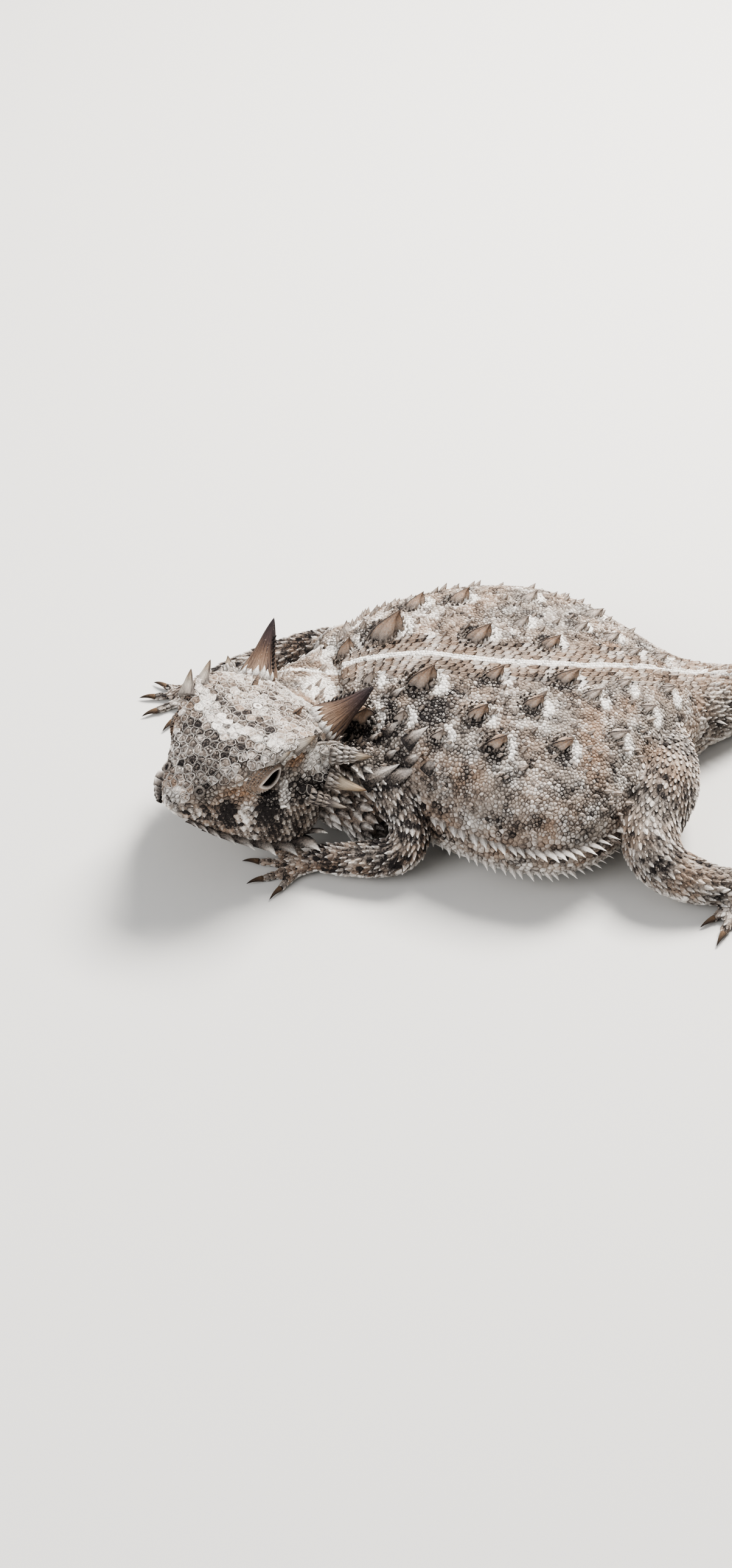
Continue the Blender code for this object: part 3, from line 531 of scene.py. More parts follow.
# Great spines of each side: position along the body, distance from its middle line, height.
# Those at least as high as a large spine are the darkest, in the darkest rings.
LARGE_SPINE = 1.7
BACK_SPINES = {
    1: [
        (-19.2, 2.8, 1.8), (-18.8, 8.4, 1.3), (-14.4, 4.1, 3.2), (-10.5, 10.4, 1.9), (-5.2, 11.8, 1.9),
        (-3.8, 3.5, 2.4), (1.5, 6.7, 1.5), (3.2, 13.0, 1.6), (4.5, 3.0, 1.8), (8.6, 6.8, 1.3),
        (10.8, 10.8, 1.6), (12.2, 5.5, 1.5), (14.7, 3.2, 1.3), (18.2, 2.9, 1.3),
    ],
    -1: [
        (-17.9, 8.0, 2.4), (-16.8, 3.5, 1.5), (-13.7, 9.5, 1.5), (-10.9, 4.7, 2.7), (-9.6, 12.2, 1.5),
        (-5.0, 9.4, 2.0), (-3.2, 13.2, 1.9), (-2.6, 3.3, 1.7), (1.5, 7.4, 1.8), (4.2, 13.0, 1.8),
        (5.7, 3.0, 2.1), (8.6, 5.4, 1.6), (10.8, 10.8, 1.6), (12.6, 2.9, 1.4), (15.2, 6.2, 1.3),
        (18.2, 2.9, 1.3),
    ],
}
# The white line down the back: position along the body, y.
STRIPE = [
    (-24.0, 4.0), (-21.3, 3.8), (-16.8, 3.1), (-10.0, 1.6), (-5.7, 0.0), (-1.2, -1.2), (3.5, -1.6),
    (8.7, -1.6), (13.5, -0.3), (17.8, 1.5), (24.3, 4.7), (27.7, 5.8), (34.0, 8.6),
]
STRIPE_HALF = 0.40


def spot(points, centre, radii, edge=0.3):
    """1 inside an ellipsoid, fading to 0 across its edge."""
    reach = np.linalg.norm((points - np.array(centre)) / np.array(radii), axis=1)
    return np.clip((1 + edge - reach) / (2 * edge), 0, 1)


def rough(points, size, seed):
    """Smooth noise from -1 to 1 with features about that size in millimetres."""
    shift = Vector((seed * 7.3, seed * 3.1, seed * 5.7))
    return np.array([noise.noise(Vector(point) / size + shift) for point in points])


def stripe_distance(points):
    return points[:, 1] - np.interp(points[:, 0], *zip(*STRIPE))


def is_part(parts, *names):
    """Which of a column of part numbers belong to the named parts."""
    return np.isin(parts, [PARTS.index(name) for name in names])


def markings(points, normals, facts):
    """How dark, ochre and pale the skin is at each point, one row a point."""
    part = facts[:, 0].astype(int)
    fine = rough(points, 1.1, 2)
    dark = np.clip(0.24 + 0.42 * rough(points, 2.6, 1) + 0.42 * fine, 0, 0.8)
    warm = np.clip(0.14 + 0.4 * rough(points, 5.0, 3), 0, 0.4)
    pale = np.clip(0.16 + 0.55 * rough(points, 1.9, 4), 0, 0.6)
    is_head = is_part(part, "head")
    is_body = is_part(part, "trunk", "neck", "tail")
    wobble = 1 + 0.25 * rough(points, 0.9, 5)[:, None]

    def lay(share, d, w, p):
        for colour, value in ((dark, d), (warm, w), (pale, p)):
            colour *= 1 - share
            colour += share * value

    near = in_head(points)
    near[:, 1] = np.abs(near[:, 1])
    dark[is_head] = 0.22 + 0.6 * fine[is_head]
    for place, thick, broad, d, p in CROWN_BANDS:
        ahead = near[:, 0] - place + 0.055 * near[:, 1] ** 2 + 0.5 * fine
        share = np.clip(1.6 - np.abs(ahead) / thick, 0, 1) * np.clip(1.6 - near[:, 1] / broad * 1.1, 0, 1)
        lay(share * is_head * (near[:, 2] > -3.4), d, 0.05, p)
    for rows, places, where in ((HEAD_SPOTS, near, is_head), (BODY_SPOTS, points, is_body)):
        for centre, radii, (d, w, p) in rows:
            centre = np.array(centre)
            lay(spot(centre + (places - centre) * wobble, centre, radii) * where, d, w, p)
    mouth = np.interp(near[:, 0], [row[0] for row in HEAD], [row[LIP_HEIGHT] for row in HEAD]) - 0.15
    gape = np.clip(1.3 - np.abs(near[:, 2] - mouth) / 0.12, 0, 1) * (near[:, 0] > 1) * (near[:, 1] > 1.2)
    lay(gape * is_head, 0.9, 0.0, 0.0)
    above = np.clip(normals[:, 2] * 3 - 0.6, 0, 1) * is_body
    for side, spines in BACK_SPINES.items():
        for position, distance, height in spines:
            middle = along(TRUNK, position)[0]
            flat = (points - [position, middle + side * distance, 0]) * [1, 1, 0]
            size = 0.4 + 0.42 * height
            outward = side * size * 0.45
            crescent = spot(flat, (size * 1.35, outward, 0), (size * 0.75, size * 1.25, 1))
            blotch = spot(flat * wobble, (-0.1 * size, outward, 0), (size * 1.2, size * 1.25, 1))
            lay(crescent * (1 - blotch) * above, 0.02, 0.0, 1.0)
            lay(blotch * above * (0.35 if height < LARGE_SPINE else 1.0), 0.78, 0.0, 0.0)
    across = np.abs(stripe_distance(points))
    beside = np.clip(1.6 - across / 2.6, 0, 1) * above
    dark *= 1 - 0.6 * beside
    warm += beside * (0.30 - warm)
    ragged = across + 0.14 * fine + 0.10 * rough(points, 0.5, 9)
    lay(np.clip((STRIPE_HALF + 0.10 - ragged) / 0.16, 0, 1) * above, 0.0, 0.0, 1.0)
    limb = is_part(part, *ARMS, *LEGS, *PAWS)
    bands = 0.5 + 0.5 * np.sin(facts[:, 1] * 24 + 2.6 * rough(points, 3.0, 6) + part)
    # The arms' mottling starts darker than the legs', partly their own colour and partly painted shade.
    mottle = np.where(is_part(part, *ARMS), 0.32, 0.16) + 0.25 * bands**2 + 0.6 * rough(points, 0.8, 7)
    dark[limb] = np.clip(mottle, 0, 0.75)[limb]
    tail = is_part(part, "tail") & (points[:, 0] > 27)
    rings = 0.5 + 0.5 * np.sin(points[:, 0] * 1.05 + 1.2 * rough(points, 3.0, 8))
    dark[tail] = np.clip(0.08 + 0.7 * rings[tail] ** 2 + 0.3 * fine[tail], 0, 0.9)
    lay(np.clip(-normals[:, 2] * 2.5 - 0.3, 0, 1), 0.08, 0.05, 0.7)
    return np.column_stack([dark, warm, pale])


# The skin shows only in the seams between the scales, where it is painted a little darker than they are, as
# shade.
seams = markings(skin_points, skin_normals, skin_facts) * [1.0, 0.8, 0.6] + [0.14, 0.0, 0.0]
add_facts(skin.data, "marks", np.clip(seams, 0, 1))


class Value:
    """A value in a material's nodes. Sums, products and the like of values add Math nodes."""

    def __init__(self, finish, socket):
        self.finish = finish
        self.socket = socket

    def math(self, operation, first, second):
        return self.finish.node("ShaderNodeMath", {"operation": operation}, {0: first, 1: second})

    def __add__(self, other):
        return self.math("ADD", self, other)

    def __radd__(self, other):
        return self.math("ADD", other, self)

    def __sub__(self, other):
        return self.math("SUBTRACT", self, other)

    def __rsub__(self, other):
        return self.math("SUBTRACT", other, self)

    def __mul__(self, other):
        return self.math("MULTIPLY", self, other)

    def __rmul__(self, other):
        return self.math("MULTIPLY", other, self)

    def __abs__(self):
        return self.math("ABSOLUTE", self, 0.0)

    def clamped(self):
        settings = {"operation": "ADD", "use_clamp": True}
        return self.finish.node("ShaderNodeMath", settings, {0: self, 1: 0.0})


class Finish:
    """A material being put together around its Principled shader."""

    def __init__(self, name, **constants):
        self.material = bpy.data.materials.new(name)
        self.material.use_nodes = True
        self.tree = self.material.node_tree
        self.shader = self.tree.nodes["Principled BSDF"]
        for socket, value in constants.items():
            self.shader.inputs[socket.replace("_", " ")].default_value = value

    def node(self, kind, settings=None, values=None, output=0):
        made = self.tree.nodes.new(kind)
        for key, value in (settings or {}).items():
            if key == "stops":
                while len(made.color_ramp.elements) < len(value):
                    made.color_ramp.elements.new(0.5)
                for element, (position, colour) in zip(made.color_ramp.elements, value):
                    element.position, element.color = position, (*colour, 1.0)
            else:
                setattr(made, key, value)
        for key, value in (values or {}).items():
            self.feed(made.inputs[key], value)
        return Value(self, made.outputs[output])

    def feed(self, socket, value):
        if isinstance(value, Value):
            self.tree.links.new(value.socket, socket)
        elif isinstance(value, tuple) and len(value) == 3 and socket.type == "RGBA":
            socket.default_value = (*value, 1.0)
        else:
            socket.default_value = value

    def blend(self, share, first, second):
        """The first colour where share is 0, the second where it is 1."""
        return self.node("ShaderNodeMix", {"data_type": "RGBA"}, {0: share, 6: first, 7: second}, 2)

    def grain(self, size, detail=3.0, roughness=0.6, vector=None):
        """Noise from 0 to 1 with features of that size in metres."""
        where = vector or self.node("ShaderNodeTexCoord", output=3)
        values = {"Vector": where, "Scale": 1 / size, "Detail": detail, "Roughness": roughness}
        return self.node("ShaderNodeTexNoise", {}, values)

    def dress(self, colour, roughness=None, height=None, strength=0.3, distance=0.0001):
        self.feed(self.shader.inputs["Base Color"], colour)
        if roughness is not None:
            self.feed(self.shader.inputs["Roughness"], roughness)
        if height is not None:
            values = {"Strength": strength, "Distance": distance, "Height": height}
            self.feed(self.shader.inputs["Normal"], self.node("ShaderNodeBump", {}, values))
        return self.material


def skin_finish(name, roughness=0.78, fineness=1.0):
    """Scale and skin: dry keratin in ash, sand, ochre and near-black, speckled within each scale."""
    made = Finish(name, Metallic=0.0, Specular_IOR_Level=0.32)
    marks = made.node("ShaderNodeAttribute", {"attribute_name": "marks"})
    parts = made.node("ShaderNodeSeparateColor", {}, {0: marks})
    dark, warm, pale = (Value(made, parts.socket.node.outputs[k]) for k in range(3))
    coarse = made.grain(0.0011 * fineness, 3.0)
    speck = made.grain(0.00026 * fineness, 4.0, 0.7)
    crease = (abs(made.grain(0.00045 * fineness, 3.0, 0.55) - 0.5) * 15.0).clamped()
    ground = made.blend((coarse * 1.8 - 0.4).clamped(), (0.215, 0.178, 0.150), (0.40, 0.355, 0.310))
    tinted = made.blend((warm * 1.15 + (coarse - 0.5) * 0.25).clamped(), ground, (0.36, 0.185, 0.085))
    lit = made.blend((pale + (speck - 0.5) * 1.1 - 0.08).clamped(), tinted, (0.86, 0.83, 0.785))
    # Thin dark lines along the grooves of the crease noise are painted shade in the fine wrinkles that the bump
    # sinks there.
    share = ((dark + (speck - 0.5) * 1.3 + (1.0 - crease) * 0.11 - 0.10) * 1.4).clamped()
    inked = made.blend(share, lit, (0.026, 0.021, 0.020))
    bump = coarse * 0.3 + speck * 0.8 + crease * 0.5
    return made.dress(inked, roughness + (speck - 0.5) * 0.25, bump, 0.65, 0.00014)


skin.data.materials.append(skin_finish("skin"))
FLESH_NODES = ["head", "neck", "torso", "tail_base", "tail_tip"]
for side_word in ("left", "right"):
    for word in ("upper_arm", "forearm", "hand", "thigh", "shank", "foot"):
        FLESH_NODES.append(f"{word}_{side_word}")


def finish_piece(piece, replaced=()):
    """Scales a piece from millimetres to metres in its mesh and fixes it to the body."""
    piece.data.transform(Matrix.Scale(MM, 4))
    piece.data.shade_smooth()
    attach(piece, "root")
    if replaced:
        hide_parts(*replaced)


# Scales: they cover all the skin, as plates on the crown, grains on the back and keeled points on the limbs.
# Each plate or grain is the patch of skin nearer to it than to its neighbours, raised into its own form.
# Form: how far in and how high each of its rims is, then how far back and high its top is.
FORMS = {
    "plate": [(0.985, 0.17), (0.91, 0.20), (0.78, 0.08), (0.45, 0.18), (0.0, 0.27, 0.1)],
    "dome": [(0.97, 0.12), (0.87, 0.25), (0.74, 0.14), (0.42, 0.30), (0.0, 0.36, 0.0)],
    "grain": [(0.82, 0.16), (0.48, 0.30), (0.0, 0.36, 0.2)],
    "bead": [(0.72, 0.14), (0.0, 0.20, 0.0)],
}


def scatter(points, order, reach):
    """Indices of an even random choice of the points, each at least its reach from those chosen before."""
    tree = tree_of(points)
    free = np.ones(len(points), bool)
    chosen = []
    for index in order:
        if free[index]:
            chosen.append(index)
            for _, other, _ in tree.find_range(points[index], reach[index]):
                free[other] = False
    return chosen


# Darts are thrown at random at each face of the skin. Those that land far enough from the rest become scales.
DARTS = 9
polygons = np.array([face.vertices for face in skin.data.polygons if len(face.vertices) == 4])
first = skin_points[polygons[:, 0]]
across_face = skin_points[polygons[:, 1]] - first
down_face = skin_points[polygons[:, 3]] - first
picks = np.repeat(np.arange(len(polygons)), DARTS)
shares = chance.random((len(picks), 2))
darts = first[picks] + across_face[picks] * shares[:, :1] + down_face[picks] * shares[:, 1:]
dart_normals = skin_normals[polygons[picks, 0]]
dart_facts = skin_facts[polygons[picks, 0]]
dart_head = in_head(darts)
dart_head[:, 1] = np.abs(dart_head[:, 1])
dart_part = dart_facts[:, 0].astype(int)
on_head_part = is_part(dart_part, "head")
up_share = dart_normals[:, 2]


def in_neck_fold(parts, points):
    """Low on the sides of the neck and shoulders, where the skin is folded and its scales are large."""
    return is_part(parts, "trunk", "neck") & (points[:, 0] < -15.5) & (points[:, 2] < 10.8)


from_eye = np.hypot(dart_head[:, 0] - EYE_CENTRE[0], dart_head[:, 2] - EYE_CENTRE[2])
beside_eye = (from_eye < 3.3) & (dart_head[:, 1] > 3) & (dart_head[:, 2] < -1.6)
crown = on_head_part & (dart_normals @ TURN[:, 2] > 0.4) & (dart_head[:, 2] > -6.5) & ~beside_eye
face = on_head_part & ~crown
lips = face & (dart_head[:, 2] < -7.6) & (dart_head[:, 0] > 0.5)
temple = face & (dart_head[:, 0] < 4.5) & (dart_head[:, 2] > -4.6)
neck_fold = in_neck_fold(dart_part, darts) & (np.abs(up_share) < 0.75)
nape = is_part(dart_part, "trunk", "neck") & (darts[:, 0] < -12.5)
paws = is_part(dart_part, *PAWS)
flank = is_part(dart_part, "trunk") & (up_share < 0.3) & ~neck_fold
under = up_share < -0.35

# Where each region is, how far apart its scales are, and their form if it changes.
# Each row goes over those before. Form "keel" is a pointed scale that overlaps the next.
REGIONS = [
    (crown, 0.76 + 0.16 * rough(darts[crown], 2.0, 11), "plate"),
    (crown & (dart_head[:, 0] > 14.0), 0.74, "plate"),
    (crown & (dart_head[:, 0] > 14.3), 0.74, "dome"),
    (face, 0.44, "grain"),
    (nape, 0.33, "grain"),
    (temple, 0.52, "plate"),
    (lips, 0.56, "keel"),
    (face & beside_eye, 0.32, None),
    (neck_fold, 1.0, "keel"),
    (is_part(dart_part, *ARMS, *LEGS), 0.60, "keel"),
    (is_part(dart_part, "tail"), 0.58, "keel"),
    (paws, 0.44, "keel"),
    (flank, 0.52, "grain"),
    (under, 0.72, "bead"),
    (under & paws, 0.5, "bead"),
]
dart_form = np.full(len(darts), "grain", dtype=object)
spacing = 0.345 + 0.10 * rough(darts, 1.3, 10)
for where, gap, form in REGIONS:
    spacing[where] = gap
    if form:
        dart_form[where] = form

sites, site_normals, site_facts, site_reach, site_form = [], [], [], [], []


def add_site(point, normal, fact, reach, form):
    sites.append(point)
    site_normals.append(normal)
    site_facts.append(fact)
    site_reach.append(reach)
    site_form.append(form)


def skin_at(point):
    """The nearest point of the skin, its normal and its facts."""
    place, normal, index, _ = skin_surface.find_nearest(Vector(point))
    return np.array(place), np.array(normal), skin_facts[skin.data.polygons[index].vertices[0]]


# The great spines, nostrils and crown's clear scale keep their places. Then come the rows beside the white
# line and the lips, and the rest of the scales fill in between them.
great_spines = []
for side, spines in BACK_SPINES.items():
    for position, distance, height in spines:
        width = along(TRUNK, position)[1]
        angle = math.degrees(math.acos(min(1.0, (distance / width) ** (1 / SECTION_POWER))))
        place, normal, fact = skin_at(section_point(TRUNK, position, angle, side))
        great_spines.append((place, normal, fact, height))
        add_site(place, normal, fact, 0.26 * height, "none")
NOSTRIL = np.array([16.7, 2.7, -5.3])
PARIETAL_EYE = np.array([5.9, 0.0, 0.9])
for centre, reach in ((NOSTRIL, 0.62), (NOSTRIL * [1, -1, 1], 0.62), (PARIETAL_EYE, 0.5)):
    place, normal, fact = skin_at(on_head(centre))
    add_site(place, normal, fact, reach, "none")
# Distance of each row from the middle of the white line, step along it, and form of its scales.
stripe_rows = [(0.2, 0.34, "grain"), (-0.2, 0.34, "grain")]
for k in range(4):
    for sign in (1, -1):
        stripe_rows.append((sign * (0.82 + 0.76 * k), 1.12 - 0.06 * k, "keel"))
for row, (offset, step, form) in enumerate(stripe_rows):
    for x in np.arange(-20.5, 24.0, step):
        x = x + (row % 4) * step * 0.5 + random.uniform(-0.07, 0.07)
        y = np.interp(x, *zip(*STRIPE)) + offset + random.uniform(-0.05, 0.05)
        place, normal, fact = skin_at((x, y, along(TRUNK, x)[2] + 1.0))
        if all(np.linalg.norm(place - spine[0]) > 0.5 * spine[3] + 0.3 for spine in great_spines):
            add_site(place, normal, fact, 0.40 if form == "keel" else 0.18, form)
LIP_ROWS = 11
for side in (1, -1):
    for row in range(LIP_ROWS):
        for x in np.arange(0.8, 17.8, 0.66):
            x = x + (row % 2) * 0.33 + random.uniform(-0.05, 0.05)
            start = on_head((x, 14.0 * side, -7.4 - 0.58 * row + random.uniform(-0.04, 0.04)))
            place, normal, face_hit, _ = skin_surface.ray_cast(Vector(start), Vector(-TURN[:, 1] * side))
            if place is not None and normal @ Vector(TURN[:, 1] * side) > 0.3:
                fact = skin_facts[skin.data.polygons[face_hit].vertices[0]]
                if PARTS[int(fact[0])] == "head":
                    add_site(np.array(place), np.array(normal), fact, 0.31, "keel")
placed_by_rows = len(sites)
all_points = np.vstack([np.array(sites), darts])
all_reach = np.concatenate([np.array(site_reach) + 0.16, spacing])
order = np.concatenate([np.arange(placed_by_rows), placed_by_rows + chance.permutation(len(darts))])
for index in scatter(all_points, order, all_reach):
    k = index - placed_by_rows
    if k >= 0:
        add_site(darts[k], dart_normals[k], dart_facts[k], spacing[k] * 0.5, dart_form[k])

sites, site_normals = np.array(sites), np.array(site_normals)
site_facts, site_reach, site_form = np.array(site_facts), np.array(site_reach), np.array(site_form)
site_part = site_facts[:, 0].astype(int)
site_marks = markings(sites, site_normals, site_facts)
site_marks += chance.normal(0, 0.15, (len(sites), 1)) * [1.0, 0.0, -0.6]
site_marks[:, 2] += chance.normal(0, 0.10, len(sites))
lies = site_facts[:, 3:6].copy()
site_head = in_head(sites)
is_lip = is_part(site_part, "head") & (site_head[:, 2] < -7.4)
lies[is_lip] = -0.45 * TURN[:, 0] - 1.0 * TURN[:, 2]
fold = in_neck_fold(site_part, sites)
lies[fold] = np.array([0.8, -0.25, -0.45])
site_marks[fold] = site_marks[fold] * [0.6, 1.0, 0.6] + [0.12, 0.02, 0.3]
# The lips and cheeks are painted darker, partly their own colour and partly painted shade.
site_marks[is_lip] += [0.10, 0.05, 0.0]
lies += chance.normal(0, 0.13, (len(sites), 3))
lies -= site_normals * (lies * site_normals).sum(axis=1, keepdims=True)
lies /= np.linalg.norm(lies, axis=1, keepdims=True) + 1e-9
sideways = np.cross(site_normals, lies)
site_tree = tree_of(sites)
NEIGHBOURS = 20


def patch_of(index):
    """The outline of the patch of skin nearer to this scale than to its neighbours, in its own flat frame."""
    size = site_reach[index]
    turns = [math.pi * (k + 0.5) / 4 for k in range(8)]
    outline = [(1.75 * size * math.cos(turn), 1.75 * size * math.sin(turn)) for turn in turns]
    for place, other, distance in site_tree.find_n(sites[index], NEIGHBOURS):
        if other == index or distance > 3.6 * max(size, site_reach[other]):
            continue
        away = sites[other] - sites[index]
        dx, dy = away @ lies[index], away @ sideways[index]
        flat = math.hypot(dx, dy)
        if flat < 1e-6 or site_normals[other] @ site_normals[index] < 0.1:
            continue
        dx, dy = dx / flat, dy / flat
        limit = flat * size / (size + site_reach[other])
        kept = []
        for (ax, ay), (bx, by) in zip(outline, outline[1:] + outline[:1]):
            a, b = ax * dx + ay * dy - limit, bx * dx + by * dy - limit
            if a <= 0:
                kept.append((ax, ay))
            if (a < 0) != (b < 0) and abs(a - b) > 1e-12:
                share = a / (a - b)
                kept.append((ax + (bx - ax) * share, ay + (by - ay) * share))
        outline = kept
        if len(outline) < 3:
            return []
    tidy = []
    for point in outline:
        if not tidy or math.dist(point, tidy[-1]) > 0.1 * size:
            tidy.append(point)
    if len(tidy) > 3 and math.dist(tidy[0], tidy[-1]) < 0.1 * size:
        tidy.pop()
    return tidy if len(tidy) >= 3 else []


def chart_of(facts):
    """Each part of the body has its own rectangle of the unwrap: along it one way, round it the other."""
    part = facts[:, 0].astype(int)
    column, row = part % 4, part // 4
    return np.column_stack([(column + 0.05 + 0.9 * facts[:, 1]) / 4, (row + 0.05 + 0.9 * facts[:, 2]) / 3])


def chart_at(fact):
    return chart_of(np.array(fact)[None])[0]


PATCH_SIZE = 0.003
site_chart = chart_of(site_facts)


def add_bake_map(mesh, charts, local):
    """A small patch of the unwrap for each scale or spine, at its root's place."""
    layer = mesh.uv_layers.new(name="OFBake")
    loops = np.empty(len(mesh.loops), np.int32)
    mesh.loops.foreach_get("vertex_index", loops)
    spots = charts + np.clip(local, -1, 1) * PATCH_SIZE / 2
    layer.data.foreach_set("uv", spots[loops].astype(np.float32).ravel())


def patch_piece(name, chosen, material):
    """One joined mesh of plates and grains."""
    bm = bmesh.new()
    owner = bm.verts.layers.int.new("owner")
    level = bm.verts.layers.int.new("level")
    by_form = {}
    for index in chosen:
        verts = []
        outline = patch_of(index)
        uneven_edge = site_form[index] in ("plate", "dome")
        if uneven_edge:
            sides = zip(outline, outline[1:] + outline[:1])
            halfway = [((ax + bx) / 2, (ay + by) / 2) for (ax, ay), (bx, by) in sides]
            outline = [point for pair in zip(outline, halfway) for point in pair]
        for x, y in outline:
            place = Vector(sites[index] + lies[index] * x + sideways[index] * y)
            if uneven_edge:
                place += noise.noise_vector(place * 1.7) * 0.2
            place = skin_surface.find_nearest(place)[0]
            vert = bm.verts.new(place - Vector(site_normals[index]) * 0.04)
            vert[owner] = index
            verts.append(vert)
        if verts:
            by_form.setdefault(site_form[index], []).append(bm.faces.new(verts))
    for form, group in by_form.items():
        rims = FORMS[form]
        before = 1.0
        for step, (inset, rise) in enumerate(rims[:-1]):
            group = bmesh.ops.extrude_discrete_faces(bm, faces=group)["faces"]
            for piece in group:
                index = piece.verts[0][owner]
                centre, normal = Vector(sites[index]), Vector(site_normals[index])
                size = site_reach[index]
                for vert in piece.verts:
                    spread = vert.co - centre
                    spread -= normal * spread.dot(normal)
                    uneven = 1 + 1.2 * noise.noise(vert.co * 2.6)
                    vert.co = centre + spread * (inset / before) + normal * (rise * size * 2 * uneven)
                    vert[level] = step + 1
            before = inset
        _, height, shift = rims[-1]
        for vert in bmesh.ops.poke(bm, faces=group)["verts"]:
            index = vert.link_edges[0].other_vert(vert)[owner]
            size = site_reach[index]
            vary = 0.75 + 0.5 * ((index * 0.618) % 1.0)
            top = lies[index] * size * shift + site_normals[index] * size * 2 * height * vary
            vert.co = Vector(sites[index] + top)
            vert[owner] = index
            vert[level] = len(rims)
    mesh = mesh_of(name, bm)
    owners, levels = (np.empty(len(mesh.vertices), np.int32) for _ in range(2))
    mesh.attributes["owner"].data.foreach_get("value", owners)
    mesh.attributes["level"].data.foreach_get("value", levels)
    forms = site_form[owners]
    marks = site_marks[owners].copy()
    plate = np.isin(forms, ["plate", "dome"])
    inked = marks[:, 0] > 0.6
    netted = inked & (owners % 5 < 3) & (levels >= 1)
    marks += chance.normal(0, 0.08, (len(marks), 1)) * [1.0, 0.0, -1.0] * np.where(plate, 2.2, 1.0)[:, None]
    # Painted light by height in each scale: the plates' raised rims and the grains' tops are paler, painted
    # highlight; the foot of each scale, the groove inside a plate's rim and the foot of each grain are darker,
    # painted shade. The pale net on grains in dark patches is their own colour.
    rim = plate & (levels <= 2) & (levels >= 1)
    marks[rim] *= [0.55, 0.8, 0.6]
    tints = [
        (levels == 0, [0.14, 0.0, -0.12]),
        (rim, [-0.10, -0.02, 0.42]),
        (plate & (levels == 3), [0.12, 0.0, -0.10]),
        (plate & (levels >= 4), [-0.02, 0.04, 0.05]),
        (~plate & (levels == 1), [0.05, 0.0, 0.0]),
        (~plate & (levels >= 2), [-0.05, 0.0, 0.07]),
        (netted & ~plate & (levels == 2), [-0.35, 0.0, 0.35]),
    ]
    for where, tint in tints:
        marks[where] += tint
    add_facts(mesh, "marks", np.clip(marks, 0, 1))
    spread = corners(mesh) - sites[owners]
    local = np.column_stack([(spread * lies[owners]).sum(1), (spread * sideways[owners]).sum(1)])
    add_bake_map(mesh, site_chart[owners], local / (1.8 * site_reach[owners][:, None]))
    mesh.attributes.remove(mesh.attributes["owner"])
    mesh.attributes.remove(mesh.attributes["level"])
    mesh.materials.append(material)
    finish_piece(mesh_object(name, mesh))


scale_look = skin_finish("scales", 0.72, 0.8)
on_trunk = is_part(site_part, "trunk")
faces_up = site_normals[:, 2] >= -0.2
patched = np.isin(site_form, list(FORMS))
patch_pieces = {
    "scales_head": is_part(site_part, "head"),
    "scales_neck": is_part(site_part, "neck"),
    "scales_back_right": on_trunk & faces_up & (sites[:, 1] >= 0),
    "scales_back_left": on_trunk & faces_up & (sites[:, 1] < 0),
    "scales_belly": on_trunk & ~faces_up,
    "scales_underside": is_part(site_part, "tail"),
    "scales_limbs_under": is_part(site_part, *ARMS, *LEGS, *PAWS),
}
for name, where in patch_pieces.items():
    patch_piece(name, np.flatnonzero(where & patched), scale_look)

# Keeled scales: pointed, ridged down the middle and overlapping like roof tiles, with their points lifted.
# They clothe the limbs and tail, the lips, the folds of the neck and the rows beside the white line.
# Place along the scale, half width, height of its margin, height of its ridge.
KEEL = [
    (-1.0, 0.42, -0.20, -0.05), (-0.35, 0.66, -0.05, 0.26),
    (0.35, 0.50, 0.12, 0.42), (1.0, 0.03, 0.46, 0.50),
]


def shape_of(bm):
    """The points and faces of a shape that is repeated many times."""
    bm.verts.index_update()
    points = np.array([vert.co for vert in bm.verts])
    faces = [[vert.index for vert in item.verts] for item in bm.faces]
    bm.free()
    return points, faces


def keel_shape(strips):
    """A keeled scale with that many strips across it, the inner ones close to its ridge."""
    keel = bmesh.new()
    bmesh.ops.create_grid(keel, x_segments=3, y_segments=strips, size=1.0)
    for vert in keel.verts:
        place, half, margin, ridge = KEEL[round((vert.co.x + 1) * 1.5)]
        share = round(abs(vert.co.y) * 4) / 4
        share = 0.12 if share == 0.5 else share
        vert.co = (place, math.copysign(share, vert.co.y) * half, ridge + (margin - ridge) * share)
    raised = bmesh.ops.extrude_face_region(keel, geom=keel.faces[:])["geom"]
    for vert in raised:
        if isinstance(vert, bmesh.types.BMVert):
            vert.co.z -= 0.30 if vert.co.x < 0.9 else 0.10
    bmesh.ops.recalc_face_normals(keel, faces=keel.faces)
    return shape_of(keel)


def joined(name, faces, placed, marks, charts, local, material):
    """One mesh of many copies of a shape. placed and marks have a row for each copy and point."""
    copies, count = placed.shape[:2]
    all_faces = [[v + k * count for v in item] for k in range(copies) for item in faces]
    mesh = bpy.data.meshes.new(name)
    mesh.from_pydata(placed.reshape(-1, 3).tolist(), [], all_faces)
    add_facts(mesh, "marks", np.clip(marks.reshape(-1, 3), 0, 1))
    add_bake_map(mesh, np.repeat(charts, count, axis=0), np.tile(local, (copies, 1)))
    mesh.materials.append(material)
    finish_piece(mesh_object(name, mesh))
    mesh.set_sharp_from_angle(angle=math.radians(38))


